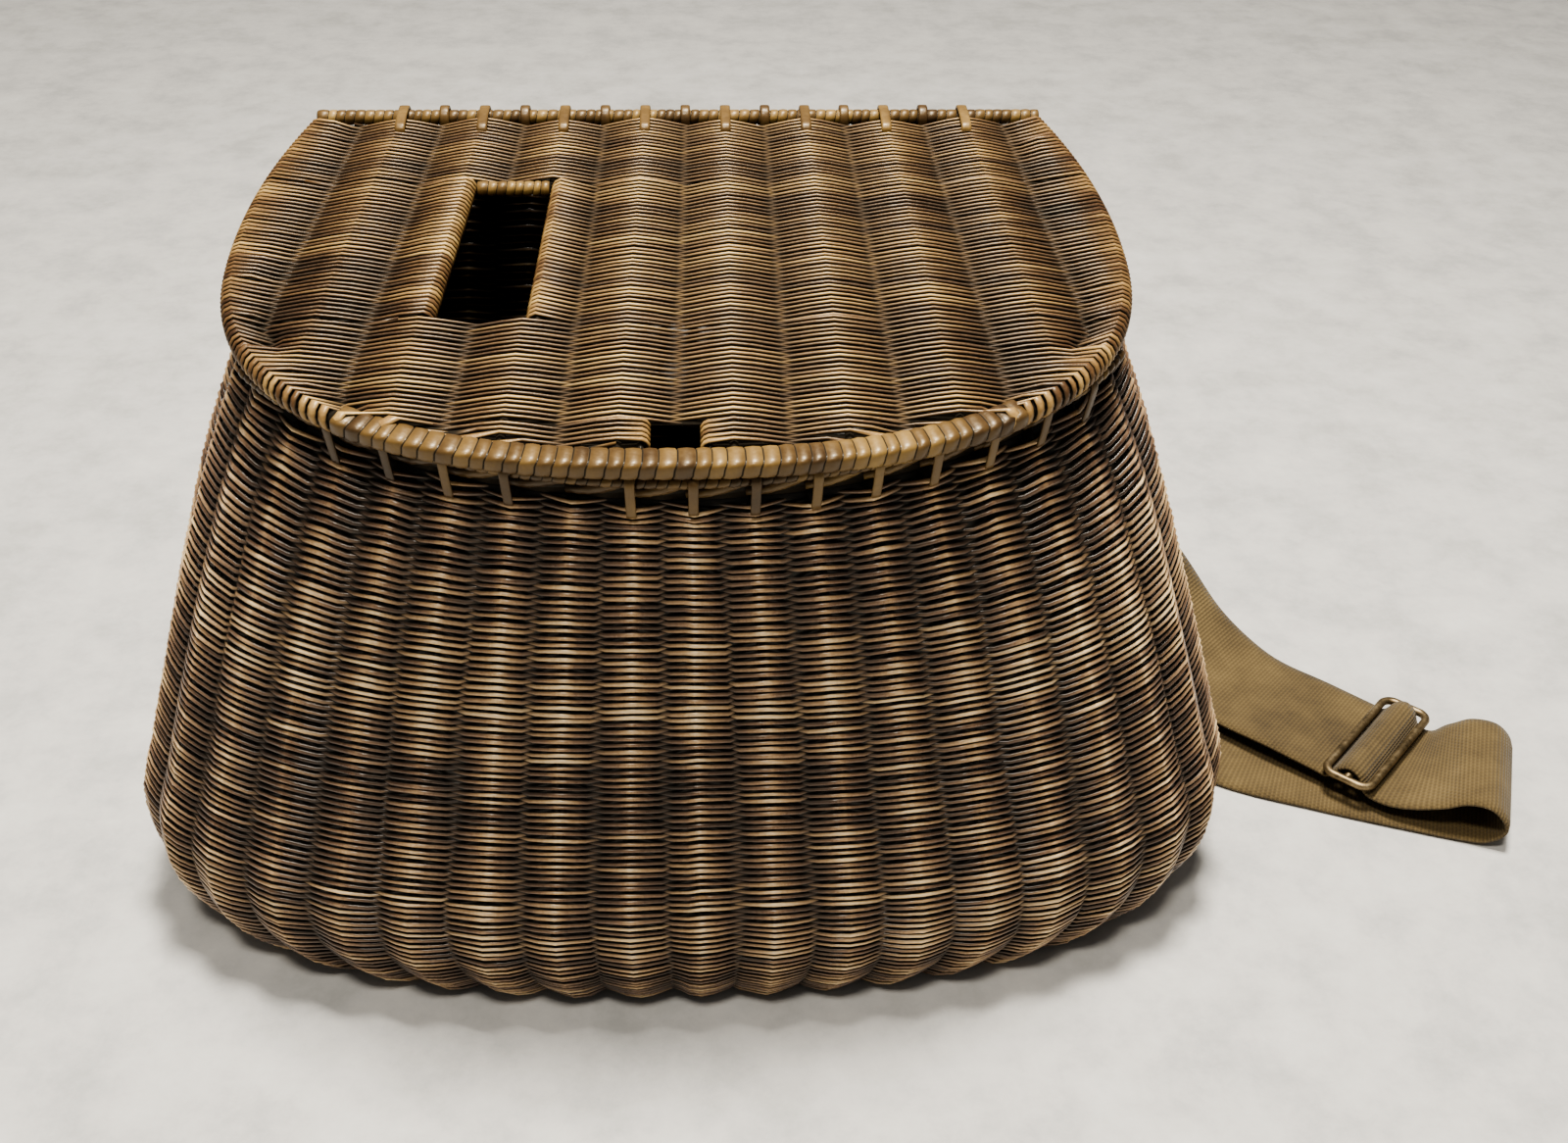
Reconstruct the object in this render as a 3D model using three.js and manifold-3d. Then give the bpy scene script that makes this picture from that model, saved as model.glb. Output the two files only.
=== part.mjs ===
// Fishing creel: a woven willow basket with a hinged woven lid and a webbing shoulder strap.
// Millimetres, +Z up, +X along the creel to the strap's fold, -Y to the bellied front and +Y to
// the hollowed back that rests on the wearer.
// The origin is at the centre of the flat base, on the surface that the creel stands on.

import * as THREE from 'three';
import { mergeVertices } from 'three/addons/utils/BufferGeometryUtils.js';
import Module from 'manifold-3d';

const wasm = await Module();
wasm.setup();

// Basket wall
const BODY_LENGTH = 356;
const FRONT_DEPTH = 84.4;
const BACK_DEPTH = 95;
const BACK_HOLLOW = 7;
const FRONT_HEIGHT = 183;
const RIM_SLOPE = THREE.MathUtils.degToRad(11.2);
const STAKE_COUNT = 41;
const STAKE_SHIFT = 0.16;
const RIDGE_THICKNESS = 7.2;
const CROSSING_THICKNESS = 2.2;
const BASE_THICKNESS = 5;
const FRONT_ROUNDNESS = 2.41;
const BACK_SQUARENESS = 8;

// Running and seating gap between pieces that touch
const GAP = 0.3;

// Rim border and the rod along its front
const BORDER_WIDTH = 7.4;
const BORDER_HEIGHT = 9.8;
const BORDER_SHOULDER = 2.94;
const BORDER_STATIONS = 76;
const RIM_ROD_RADIUS = 1.6;
const RIM_ROD_DROP = 1.9;
const RIM_ROD_REACH = 8;

// Flat cane of all ties
const CANE_WIDTH = 3;
const CANE_THICKNESS = 1.1;
const HINGE_TIE_REACH = 7;
const BORDER_TIE_DROP = 10.5;
const ROD_TIE_DROP = 2.5;

// Hinge rod
const HINGE_ROD_RADIUS = 2.4;
const HINGE_ROD_OVERHANG = 0.8;
const HINGE_CLEARANCE = 0.4;
const HINGE_BEFORE_BACK_WALL = 2.4;

// Lid; its ribs and front rim spread over shares of its length
const LID_SIDE_OVERHANG = 2.2;
const LID_BACK_NARROWING = 15;
const LID_FRONT_OVERHANG = 2.1;
const LID_WIDEST_BEFORE_HINGE = 75.7;
const LID_REAR_GAP = 2.4;
const LID_RIDGE_THICKNESS = 6.4;
const LID_CROSSING_THICKNESS = 2.4;
const LID_EDGE_RADIUS = 4;
const RIB_COUNT = 8;
const RIB_SPREAD_BACK = 0.773;
const RIB_SPREAD_FRONT = 0.819;
const RIB_CENTRE_BACK = 1.3;
const RIB_CENTRE_FRONT = -2;
const LID_RIM_WIDTH = 8;
const LID_RIM_HEIGHT = 5.8;
const LID_RIM_GAP = 1.2;
const LID_RIM_BEVEL = 1;
const LID_RIM_SPREAD = 0.702;

// Fish hole and latch notch
const FISH_HOLE_REAR = 38;
const FISH_HOLE_LENGTH = 68;
const FISH_HOLE_LEFT_RIB = 1.01;
const FISH_HOLE_RIGHT_RIB = 2.13;
const HOLE_EDGE_RADIUS = 3.6;
const FISH_BAR_RADIUS = 2.2;
const FISH_BAR_GAP = 0.8;
const FISH_BAR_LIFT = 0.6;
const NOTCH_CENTRE = -1.8;
const NOTCH_SPREAD = 17.6;
const NOTCH_DEPTH = 10;
const NOTCH_EDGE_RADIUS = 2.6;

// Strap, slider and the loops that the strap hangs on
const STRAP_WIDTH = 50;
const STRAP_THICKNESS = 2;
const SLIDER_WIRE_RADIUS = 1.5;
const SLIDER_CENTRE = new THREE.Vector3(252, 31, 12.5);
const SLIDER_HEADING = THREE.MathUtils.degToRad(-42.6);
const SLIDER_PITCH = 17;
const SLIDER_CORNER = 4;
const SLIDER_SLACK = 0.5;
const LOOP_BAR_RADIUS = 2.5;
const LOOP_CORNER = 5;
const LOOP_HEIGHT = 64;
const LOOP_CENTRE_HEIGHT = 148;
const LOOP_SPREAD = 140;
const LOOP_STANDOFF = 12;

// Wall sections from the base up; each row's values are shares of the wall's height, BODY_LENGTH,
// FRONT_DEPTH, BACK_DEPTH, BACK_HOLLOW, BACK_SQUARENESS and FRONT_ROUNDNESS.
const WALL_SECTIONS = [
  { height: 0, length: 0.8, front: 0.74, back: 0.86, hollow: 0.4, square: 0.4, round: 1 },
  { height: 0.015, length: 0.876, front: 0.839, back: 0.9, hollow: 0.5, square: 0.42, round: 1 },
  { height: 0.05, length: 0.932, front: 0.912, back: 0.94, hollow: 0.6, square: 0.45, round: 1 },
  { height: 0.1, length: 0.972, front: 0.964, back: 0.97, hollow: 0.7, square: 0.48, round: 1 },
  { height: 0.22, length: 1, front: 1, back: 0.99, hollow: 0.9, square: 0.52, round: 1 },
  { height: 0.36, length: 0.959, front: 0.951, back: 1, hollow: 1, square: 0.56, round: 1 },
  { height: 0.51, length: 0.908, front: 0.906, back: 1, hollow: 1, square: 0.64, round: 1 },
  { height: 0.7, length: 0.839, front: 0.864, back: 1, hollow: 0.7, square: 0.76, round: 0.97 },
  { height: 0.85, length: 0.78, front: 0.842, back: 0.998, hollow: 0.35, square: 0.88, round: 0.9 },
  { height: 1, length: 0.708, front: 0.83, back: 0.995, hollow: 0, square: 1, round: 0.78 },
];

// Stakes that carry a tie at the front, counted from the middle; one tie is missing at -2.
const TIED_STAKES = [-6, -5, -4, -3, -1, 0, 1, 2, 3, 4, 5, 6, 7];

// The strap's own route, chosen by hand; tilt is how far the width turns up from level, in degrees.
// Where it hangs from the loops its heights are shares of LOOP_CENTRE_HEIGHT.
const STRAP_HANG_OUT = [
  { x: 84, y: 104.4, hang: 0.9966, tilt: 90 },
  { x: 106, y: 106, hang: 0.8919, tilt: 88 },
  { x: 132, y: 108, hang: 0.6757, tilt: 80 },
  { x: 154, y: 107, hang: 0.4392, tilt: 62 },
  { x: 173, y: 101, hang: 0.2432, tilt: 35 },
  { x: 191, y: 87, hang: 0.1149, tilt: 10 },
];
const STRAP_FLOOR_OUT = [
  { x: 210, y: 70, z: 10, tilt: 0 },
  { x: 229, y: 52, z: 9.2, tilt: 0 },
];
const STRAP_FLOOR_BACK = [
  { x: 273, y: 16.9, z: 13, tilt: 0 },
  { x: 279.5, y: 14.4, z: 17.2, tilt: 0 },
  { x: 287.5, y: 10.8, z: 17.4, tilt: 0 },
  { x: 293, y: 8.4, z: 10, tilt: 0 },
  { x: 288.5, y: 10.4, z: 3.2, tilt: 0 },
  { x: 280, y: 13.6, z: 1.6, tilt: 0 },
  { x: 262, y: 20, z: 1.4, tilt: 0 },
  { x: 232, y: 31.5, z: 1.4, tilt: 0 },
  { x: 205, y: 43.5, z: 1.7, tilt: 0 },
  { x: 188, y: 59, z: 4.4, tilt: 4 },
];
const STRAP_HANG_BACK = [
  { x: 170, y: 82, hang: 0.1014, tilt: 28 },
  { x: 146, y: 99, hang: 0.2027, tilt: 68 },
  { x: 118, y: 101.5, hang: 0.3041, tilt: 86 },
  { x: 80, y: 100.5, hang: 0.4662, tilt: 90 },
  { x: 42, y: 99.8, hang: 0.6622, tilt: 90 },
  { x: 6, y: 99.8, hang: 0.8446, tilt: 90 },
  { x: -24, y: 100.8, hang: 0.9595, tilt: 90 },
  { x: -48, y: 102, hang: 0.9973, tilt: 90 },
];

// The strap's width turns with its run averaged over this length, and over this many places to
// each side, as stiff webbing does. From this tilt up, its width follows the run before it.
const WEBBING_TURN = 13;
const TURN_REACH = 12;
const UPRIGHT_TILT = 80;

const COLOURS = {
  basket: 0x6e4d2b,
  lid: 0x8a6538,
  cane: 0xa5834d,
  webbing: 0x6b6138,
  wire: 0x6f6246,
};

const material = (colour, roughness, metalness = 0) =>
  new THREE.MeshStandardMaterial({ color: colour, roughness, metalness });
const MATERIALS = {
  basket: material(COLOURS.basket, 0.45),
  lid: material(COLOURS.lid, 0.42),
  cane: material(COLOURS.cane, 0.4),
  webbing: material(COLOURS.webbing, 0.9),
  wire: material(COLOURS.wire, 0.45, 0.85),
};

const UP = new THREE.Vector3(0, 0, 1);
const lerp = THREE.MathUtils.lerp;
const signedPower = (value, power) => Math.sign(value) * Math.abs(value) ** power;

// Outline of the basket at one level: half-superellipses in front of and behind its longest line.
// A front stake keeps its share of the length at every level, however round the front is there.
function outlinePoint(angle, section) {
  const along = Math.sin(angle);
  const isFront = along < 0;
  const power = isFront ? FRONT_ROUNDNESS : section.squareness;
  const share = signedPower(Math.cos(angle), 2 / power);
  const x = section.halfLength * share;
  if (isFront) {
    const reach = Math.max(1 - Math.abs(share) ** section.roundness, 0) ** (1 / section.roundness);
    return new THREE.Vector2(x, -section.front * reach);
  }
  const hollow = section.hollow * Math.cos((Math.PI / 2) * share) ** 2;
  return new THREE.Vector2(x, section.back * along ** (2 / power) - hollow * along ** 2);
}

// Middle of the wall at a height share, from the table's rows.
function wallSection(height) {
  let row = 1;
  while (row < WALL_SECTIONS.length - 1 && WALL_SECTIONS[row].height < height) row += 1;
  const below = WALL_SECTIONS[row - 1];
  const above = WALL_SECTIONS[row];
  const share = (height - below.height) / (above.height - below.height);
  const inset = RIDGE_THICKNESS / 2;
  return {
    halfLength: lerp(below.length, above.length, share) * (BODY_LENGTH / 2) - inset,
    front: lerp(below.front, above.front, share) * FRONT_DEPTH - inset,
    back: lerp(below.back, above.back, share) * BACK_DEPTH - inset,
    hollow: lerp(below.hollow, above.hollow, share) * BACK_HOLLOW,
    squareness: lerp(below.square, above.square, share) * BACK_SQUARENESS,
    roundness: lerp(below.round, above.round, share) * FRONT_ROUNDNESS,
  };
}

// Stakes stand at equal steps along the fullest outline, counted from the middle of the front.
const ANGLE_STEPS = 1440;
const fullest = wallSection(WALL_SECTIONS.find((row) => row.length === 1).height);
const outlineAngles = [];
const outlineLengths = [0];
for (let i = 0; i <= ANGLE_STEPS; i += 1) {
  outlineAngles.push(-Math.PI / 2 + (2 * Math.PI * i) / ANGLE_STEPS);
  if (i > 0) {
    const before = outlinePoint(outlineAngles[i - 1], fullest);
    const step = outlinePoint(outlineAngles[i], fullest).distanceTo(before);
    outlineLengths.push(outlineLengths[i - 1] + step);
  }
}

function angleAtStake(stake) {
  const turn = (stake + STAKE_SHIFT) / STAKE_COUNT;
  const target = (turn - Math.floor(turn)) * outlineLengths[ANGLE_STEPS];
  let i = 1;
  while (outlineLengths[i] < target) i += 1;
  const share = (target - outlineLengths[i - 1]) / (outlineLengths[i] - outlineLengths[i - 1]);
  return lerp(outlineAngles[i - 1], outlineAngles[i], share);
}

const RIM_SECTION = wallSection(1);
const wallHeight = (y) => FRONT_HEIGHT + (y + RIM_SECTION.front) * Math.tan(RIM_SLOPE);

// A place on the wall: its middle, the level outward direction and the level direction along it.
function wallPlace(stake, height) {
  const angle = angleAtStake(stake);
  const section = wallSection(height);
  const middle = outlinePoint(angle, section);
  const nudge = 1e-3;
  const along = outlinePoint(angle + nudge, section).sub(outlinePoint(angle - nudge, section)).normalize();
  return {
    middle: new THREE.Vector3(middle.x, middle.y, height * wallHeight(middle.y)),
    outward: new THREE.Vector3(along.y, -along.x, 0),
    along: new THREE.Vector3(along.x, along.y, 0),
  };
}

// Half the wall's thickness: full over a stake, least where the weavers cross between two stakes.
function halfThickness(stake) {
  const bulge = Math.abs(Math.cos(Math.PI * stake));
  return lerp(CROSSING_THICKNESS, RIDGE_THICKNESS, bulge) / 2;
}

function wallPoint(stake, height, side) {
  const place = wallPlace(stake, height);
  return place.middle.addScaledVector(place.outward, side * halfThickness(stake));
}

function bufferGeometry(points, triangles) {
  const geometry = new THREE.BufferGeometry();
  const numbers = points.flatMap((p) => [p.x, p.y, p.z]);
  geometry.setAttribute('position', new THREE.Float32BufferAttribute(numbers, 3));
  geometry.setIndex(triangles.flat());
  geometry.computeVertexNormals();
  return geometry;
}

// A skin through rings of points; neighbouring rings have as many points, or one has half as many.
// Rings run clockwise seen from the end that the skin starts at, so that faces point out.
function ringSkin(rings) {
  const points = rings.flat();
  const triangles = [];
  let start = 0;
  for (let r = 0; r + 1 < rings.length; r += 1) {
    const count = rings[r].length;
    const nextCount = rings[r + 1].length;
    const next = start + count;
    for (let i = 0; i < Math.min(count, nextCount); i += 1) {
      const j = (i + 1) % Math.min(count, nextCount);
      if (count === nextCount) {
        triangles.push([start + i, start + j, next + j], [start + i, next + j, next + i]);
      } else {
        const a = start + 2 * i;
        const middle = a + 1;
        const b = start + (2 * j) % count;
        triangles.push([a, middle, next + i], [middle, next + j, next + i], [middle, b, next + j]);
      }
    }
    start = next;
  }
  return { points, triangles };
}

function capped(skin, firstRing, lastRing) {
  const { points, triangles } = skin;
  const middleOf = (ring) => {
    const sum = new THREE.Vector3();
    ring.forEach((p) => sum.add(p));
    return sum.divideScalar(ring.length);
  };
  const lastStart = points.length - lastRing.length;
  const firstMiddle = points.length;
  points.push(middleOf(firstRing), middleOf(lastRing));
  firstRing.forEach((_, i) => triangles.push([firstMiddle, (i + 1) % firstRing.length, i]));
  lastRing.forEach((_, i) => {
    triangles.push([firstMiddle + 1, lastStart + i, lastStart + ((i + 1) % lastRing.length)]);
  });
  return bufferGeometry(points, triangles);
}

// A bar of one section through a list of frames, each with an origin and two directions.
function sweep(frames, section, closed = false) {
  const rings = frames.map(({ origin, side, rise }) =>
    section.map(([a, b]) => origin.clone().addScaledVector(side, a).addScaledVector(rise, b)));
  if (closed) {
    const skin = ringSkin([...rings, rings[0]]);
    return mergeVertices(bufferGeometry(skin.points, skin.triangles).deleteAttribute('normal'), 1e-4);
  }
  return capped(ringSkin(rings), rings[0], rings[rings.length - 1]);
}

function mesh(name, geometry, surface) {
  const piece = new THREE.Mesh(geometry, surface);
  piece.name = name;
  return piece;
}

// A strip of the cane's thickness along a flat path, as the outline that is extruded to its width.
function stripShape(path, thickness = CANE_THICKNESS) {
  const side = (sign) => path.map((p, i) => {
    const before = path[Math.max(i - 1, 0)];
    const after = path[Math.min(i + 1, path.length - 1)];
    const into = p.clone().sub(before).normalize();
    const out = after.clone().sub(p).normalize();
    const along = into.add(out).normalize();
    const normal = new THREE.Vector2(-along.y, along.x);
    const leg = (i > 0 ? p.clone().sub(before) : after.clone().sub(p)).normalize();
    const mitre = 1 / Math.max(normal.dot(new THREE.Vector2(-leg.y, leg.x)), 0.5);
    return p.clone().addScaledVector(normal, (sign * thickness * mitre) / 2);
  });
  return new THREE.Shape([...side(1), ...side(-1).reverse()]);
}

function extrudeToWidth(shape, width) {
  const geometry = new THREE.ExtrudeGeometry(shape, { depth: width, bevelEnabled: false });
  return geometry.translate(0, 0, -width / 2);
}

function arcPoints(radius, from, to, steps) {
  return Array.from({ length: steps + 1 }, (_, i) => {
    const angle = lerp(from, to, i / steps);
    return new THREE.Vector2(radius * Math.cos(angle), radius * Math.sin(angle));
  });
}

// The inside's rings stop at this height share, just over the floor.
const LOWEST_INNER_RING = (1.5 * BASE_THICKNESS) / FRONT_HEIGHT;

// Basket: the outer skin up the wall, over its top, down the inside and across the floor.
function basketGeometry() {
  const outerStations = Array.from({ length: STAKE_COUNT * 4 }, (_, i) => i / 4);
  const innerStations = outerStations.filter((_, i) => i % 2 === 0);
  const ring = (stations, height, side) => stations.map((stake) => wallPoint(stake, height, side));
  const heights = WALL_SECTIONS.map((row) => row.height);
  const outer = heights.map((height) => ring(outerStations, height, 1));
  const innerHeights = heights.filter((height) => height > LOWEST_INNER_RING).reverse();
  const inner = innerHeights.map((height) => ring(innerStations, height, -1));
  const floor = innerStations.map((stake) => {
    const place = wallPlace(stake, WALL_SECTIONS[1].height);
    const inset = place.middle.addScaledVector(place.outward, -RIDGE_THICKNESS);
    return inset.setZ(BASE_THICKNESS);
  });
  const rings = [...outer, ...inner, floor];
  return capped(ringSkin(rings), outer[0], floor);
}

// The rolled border that follows the wall's top edge.
function borderGeometry() {
  const half = BORDER_WIDTH / 2;
  const section = [
    [half, BORDER_SHOULDER], [half, BORDER_HEIGHT - BORDER_SHOULDER], [0, BORDER_HEIGHT],
    [-half, BORDER_HEIGHT - BORDER_SHOULDER], [-half, BORDER_SHOULDER], [0, 0],
  ].map(([a, b]) => [a, b + GAP]);
  const frames = Array.from({ length: BORDER_STATIONS }, (_, i) => {
    const place = wallPlace((i * STAKE_COUNT) / BORDER_STATIONS, 1);
    return { origin: place.middle, side: place.outward, rise: UP };
  });
  return sweep(frames.reverse(), section, true);
}

// The rim rod's middle line, outside the border and just under its top.
const RIM_ROD_OUT = BORDER_WIDTH / 2 + GAP + RIM_ROD_RADIUS;
const RIM_ROD_RISE = GAP + BORDER_HEIGHT - RIM_ROD_DROP;

function rimRodPoint(stake) {
  const place = wallPlace(stake, 1);
  return place.middle.addScaledVector(place.outward, RIM_ROD_OUT).addScaledVector(UP, RIM_ROD_RISE);
}

function roundSection(radius, sides) {
  return Array.from({ length: sides }, (_, i) => {
    const angle = (2 * Math.PI * i) / sides;
    return [radius * Math.cos(angle), radius * Math.sin(angle)];
  });
}

function rimRodGeometry() {
  const stations = 4 * RIM_ROD_REACH;
  const frames = Array.from({ length: stations + 1 }, (_, i) => {
    const stake = lerp(-RIM_ROD_REACH, RIM_ROD_REACH, i / stations);
    return { origin: rimRodPoint(stake), side: wallPlace(stake, 1).outward, rise: UP };
  });
  return sweep(frames.reverse(), roundSection(RIM_ROD_RADIUS, 6));
}

// A front tie: round the rod's outer side, then down the ridge over the stake.
const TIE_WRAP = [Math.PI / 8, -Math.PI / 12];
const TIE_TIP_LIFT = 1.6;

function borderTie(name, stake) {
  const place = wallPlace(stake, 1);
  const centre = rimRodPoint(stake);
  const tipHeight = 1 - (BORDER_TIE_DROP - RIM_ROD_RISE) / wallHeight(place.middle.y);
  const tip = wallPoint(stake, tipHeight, 1).sub(centre);
  const lift = GAP + CANE_THICKNESS / 2;
  const path = [
    ...arcPoints(RIM_ROD_RADIUS + lift, ...TIE_WRAP, 3),
    new THREE.Vector2(tip.dot(place.outward) + TIE_TIP_LIFT * lift, tip.z),
  ];
  const tie = mesh(name, extrudeToWidth(stripShape(path), CANE_WIDTH), MATERIALS.cane);
  const across = new THREE.Vector3().crossVectors(place.outward, UP);
  tie.applyMatrix4(new THREE.Matrix4().makeBasis(place.outward, UP, across).setPosition(centre));
  return tie;
}

// The hinge line lies over the back border, so that the ties have room under the rod.
const HINGE_Y = RIM_SECTION.back - HINGE_BEFORE_BACK_WALL;
const TIE_RADIUS = HINGE_ROD_RADIUS + HINGE_CLEARANCE;
const BACK_BORDER_TOP = wallHeight(RIM_SECTION.back) + GAP + BORDER_HEIGHT;
const HINGE_Z = BACK_BORDER_TOP + GAP + CANE_THICKNESS + TIE_RADIUS;

// Strips are drawn as seen along the hinge line: their right is +Y, and their width runs along X.
const ACROSS_THE_HINGE = new THREE.Matrix4().makeBasis(
  new THREE.Vector3(0, 1, 0), UP, new THREE.Vector3(1, 0, 0),
);

function rodAlongX(radius, length, sides) {
  return new THREE.CylinderGeometry(radius, radius, length, sides).rotateZ(Math.PI / 2);
}

// The stake position, counted round from the front, at which a point of the back wall has this x.
const BACK_STAKES = [0.3 * STAKE_COUNT, 0.7 * STAKE_COUNT];
const HALVINGS = 30;

function backStakeAt(x, pointAt) {
  let [low, high] = BACK_STAKES;
  for (let i = 0; i < HALVINGS; i += 1) {
    const middle = (low + high) / 2;
    if (pointAt(middle).x > x) low = middle;
    else high = middle;
  }
  return low;
}

// A rod tie, midway between two hinge ties: over the rod and down both sides of the border.
const ROD_TIE_WRAP = [1.05 * Math.PI, -0.05 * Math.PI];

function rodTie(name, x) {
  const lift = GAP + CANE_THICKNESS / 2;
  const legOut = BORDER_WIDTH / 2 + lift;
  const rimPoint = (stake) => wallPlace(stake, 1).middle;
  const borderY = rimPoint(backStakeAt(x, rimPoint)).y - HINGE_Y;
  const foot = wallHeight(RIM_SECTION.back) - ROD_TIE_DROP - HINGE_Z;
  const shoulder = BACK_BORDER_TOP - BORDER_SHOULDER - HINGE_Z;
  const path = [
    new THREE.Vector2(borderY - legOut, foot),
    new THREE.Vector2(borderY - legOut, shoulder),
    ...arcPoints(HINGE_ROD_RADIUS + lift, ...ROD_TIE_WRAP, 6),
    new THREE.Vector2(borderY + legOut, shoulder),
    new THREE.Vector2(borderY + legOut, foot),
  ];
  const tie = mesh(name, extrudeToWidth(stripShape(path), CANE_WIDTH), MATERIALS.cane);
  tie.applyMatrix4(ACROSS_THE_HINGE.clone().setPosition(x, HINGE_Y, HINGE_Z));
  return tie;
}

// Lid: its own frame lies on the hinge line and slopes with the rim; -Y runs forward along the lid.
const lid = new THREE.Group();
lid.position.set(0, HINGE_Y, HINGE_Z);
lid.rotation.x = RIM_SLOPE;

const LID_REAR = HINGE_ROD_RADIUS + LID_REAR_GAP;
const RIM_ROD_FRONT = RIM_SECTION.front + RIM_ROD_OUT + RIM_ROD_RADIUS;
const LID_DEPTH = (RIM_ROD_FRONT + LID_FRONT_OVERHANG + HINGE_Y) / Math.cos(RIM_SLOPE);
const LID_FRONT_REACH = LID_DEPTH - LID_WIDEST_BEFORE_HINGE;
const LID_LENGTH = 2 * (RIM_SECTION.halfLength + RIDGE_THICKNESS / 2 + LID_SIDE_OVERHANG);
const LID_BACK_LENGTH = LID_LENGTH - 2 * LID_BACK_NARROWING;
const HINGE_ROD_LENGTH = LID_BACK_LENGTH + 2 * HINGE_ROD_OVERHANG;
const RIM_END_SHARE = 1 + Math.acos(LID_RIM_SPREAD ** (FRONT_ROUNDNESS / 2)) / (Math.PI / 2);

// The lid's outline at the right: share 0 at the hinge line, 1 at the widest line, 2 at the front.
function lidEdge(share, inset = 0) {
  const at = (s) => {
    if (s <= 1) {
      const x = LID_LENGTH / 2 - LID_BACK_NARROWING * (1 - s) ** 2;
      return new THREE.Vector2(x, -s * LID_WIDEST_BEFORE_HINGE);
    }
    const angle = (s - 1) * (Math.PI / 2);
    const x = (LID_LENGTH / 2) * Math.max(Math.cos(angle), 0) ** (2 / FRONT_ROUNDNESS);
    const y = LID_FRONT_REACH * Math.sin(angle) ** (2 / FRONT_ROUNDNESS);
    return new THREE.Vector2(x, -LID_WIDEST_BEFORE_HINGE - y);
  };
  const nudge = 1e-3;
  const along = at(Math.min(share + nudge, 2)).sub(at(share - nudge)).normalize();
  return at(share).addScaledVector(new THREE.Vector2(along.y, -along.x), inset);
}

// Ribs fan out from the hinge to the front; rib 0 is the leftmost that a hinge tie holds.
function ribX(rib, y) {
  const side = rib / (RIB_COUNT - 1) - 0.5;
  const back = RIB_CENTRE_BACK + RIB_SPREAD_BACK * LID_BACK_LENGTH * side;
  const front = RIB_CENTRE_FRONT + RIB_SPREAD_FRONT * LID_LENGTH * side;
  return lerp(back, front, -y / LID_DEPTH);
}

function solidFrom(geometry) {
  const bare = geometry.index ? geometry.clone() : mergeVertices(geometry.clone());
  bare.deleteAttribute('normal');
  bare.deleteAttribute('uv');
  const merged = mergeVertices(bare, 1e-4);
  const vertProperties = new Float32Array(merged.attributes.position.array);
  const triVerts = new Uint32Array(merged.index.array);
  return new wasm.Manifold(new wasm.Mesh({ numProp: 3, vertProperties, triVerts }));
}

function geometryFrom(solid) {
  const { vertProperties, triVerts } = solid.getMesh();
  const geometry = new THREE.BufferGeometry();
  geometry.setAttribute('position', new THREE.BufferAttribute(new Float32Array(vertProperties), 3));
  geometry.setIndex(new THREE.BufferAttribute(new Uint32Array(triVerts), 1));
  geometry.computeVertexNormals();
  return geometry;
}

// A cutter or blank of an outline, more than as thick as the lid.
function prism(outline) {
  return solidFrom(extrudeToWidth(new THREE.Shape(outline), 4 * LID_RIDGE_THICKNESS));
}

// The ribbed slab: ridges over the ribs, straight from the back to the front. It runs past the
// outline at all sides.
const SLAB_MARGIN = 2;
const SLAB_SIDE_RIBS = 2.1;
const SLAB_SIDE_BULGE = 0.3;

function ribbedSlab() {
  const ribs = [-SLAB_SIDE_RIBS];
  for (let quarter = -2; quarter <= 4 * (RIB_COUNT - 1) + 2; quarter += 1) ribs.push(quarter / 4);
  ribs.push(RIB_COUNT - 1 + SLAB_SIDE_RIBS);
  const halfAt = (rib) => {
    const isOutside = rib < -0.5 || rib > RIB_COUNT - 0.5;
    const bulge = isOutside ? SLAB_SIDE_BULGE : Math.abs(Math.cos(Math.PI * rib));
    return lerp(LID_CROSSING_THICKNESS, LID_RIDGE_THICKNESS, bulge) / 2;
  };
  const ringAt = (y) => [
    ...ribs.map((rib) => new THREE.Vector3(ribX(rib, y), y, -halfAt(rib))),
    ...[...ribs].reverse().map((rib) => new THREE.Vector3(ribX(rib, y), y, halfAt(rib))),
  ];
  const rings = [ringAt(-LID_REAR), ringAt(-LID_DEPTH - SLAB_MARGIN)];
  const skin = ringSkin(rings);
  const count = ribs.length;
  for (let i = 0; i + 1 < count; i += 1) {
    const j = 2 * count - 1 - i;
    skin.triangles.push([i, j, i + 1], [i + 1, j, j - 1]);
    const shift = 2 * count;
    skin.triangles.push([shift + i, shift + i + 1, shift + j], [shift + i + 1, shift + j - 1, shift + j]);
  }
  return solidFrom(bufferGeometry(skin.points, skin.triangles));
}

// The woven sheet's outline: inside the rolled side edges and behind the front rim. Both the
// sheet and its rolled edges stop short of the front rim's ends.
const SHEET_TURN_LEAD = 0.02;
const EDGE_END_LEAD = 0.012;
const EDGE_START_LEAD = 0.2;

function sheetOutline() {
  const rear = LID_REAR / LID_WIDEST_BEFORE_HINGE;
  const turn = RIM_END_SHARE - SHEET_TURN_LEAD;
  const stretch = (from, to, inset, steps) =>
    Array.from({ length: steps + 1 }, (_, i) => lidEdge(lerp(from, to, i / steps), inset));
  const right = [
    ...stretch(rear, turn, LID_EDGE_RADIUS, 24),
    ...stretch(turn, 2, LID_RIM_WIDTH + LID_RIM_GAP, 12),
  ];
  const left = right.slice(0, -1).reverse().map((p) => new THREE.Vector2(-p.x, p.y));
  return [...right, ...left];
}

function tube(path, radius, sides) {
  const frames = path.map((origin, i) => {
    const before = path[Math.max(i - 1, 0)];
    const after = path[Math.min(i + 1, path.length - 1)];
    const along = after.clone().sub(before).normalize();
    return { origin, side: new THREE.Vector3().crossVectors(UP, along), rise: UP };
  });
  return solidFrom(sweep(frames, roundSection(radius, sides)));
}

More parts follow.
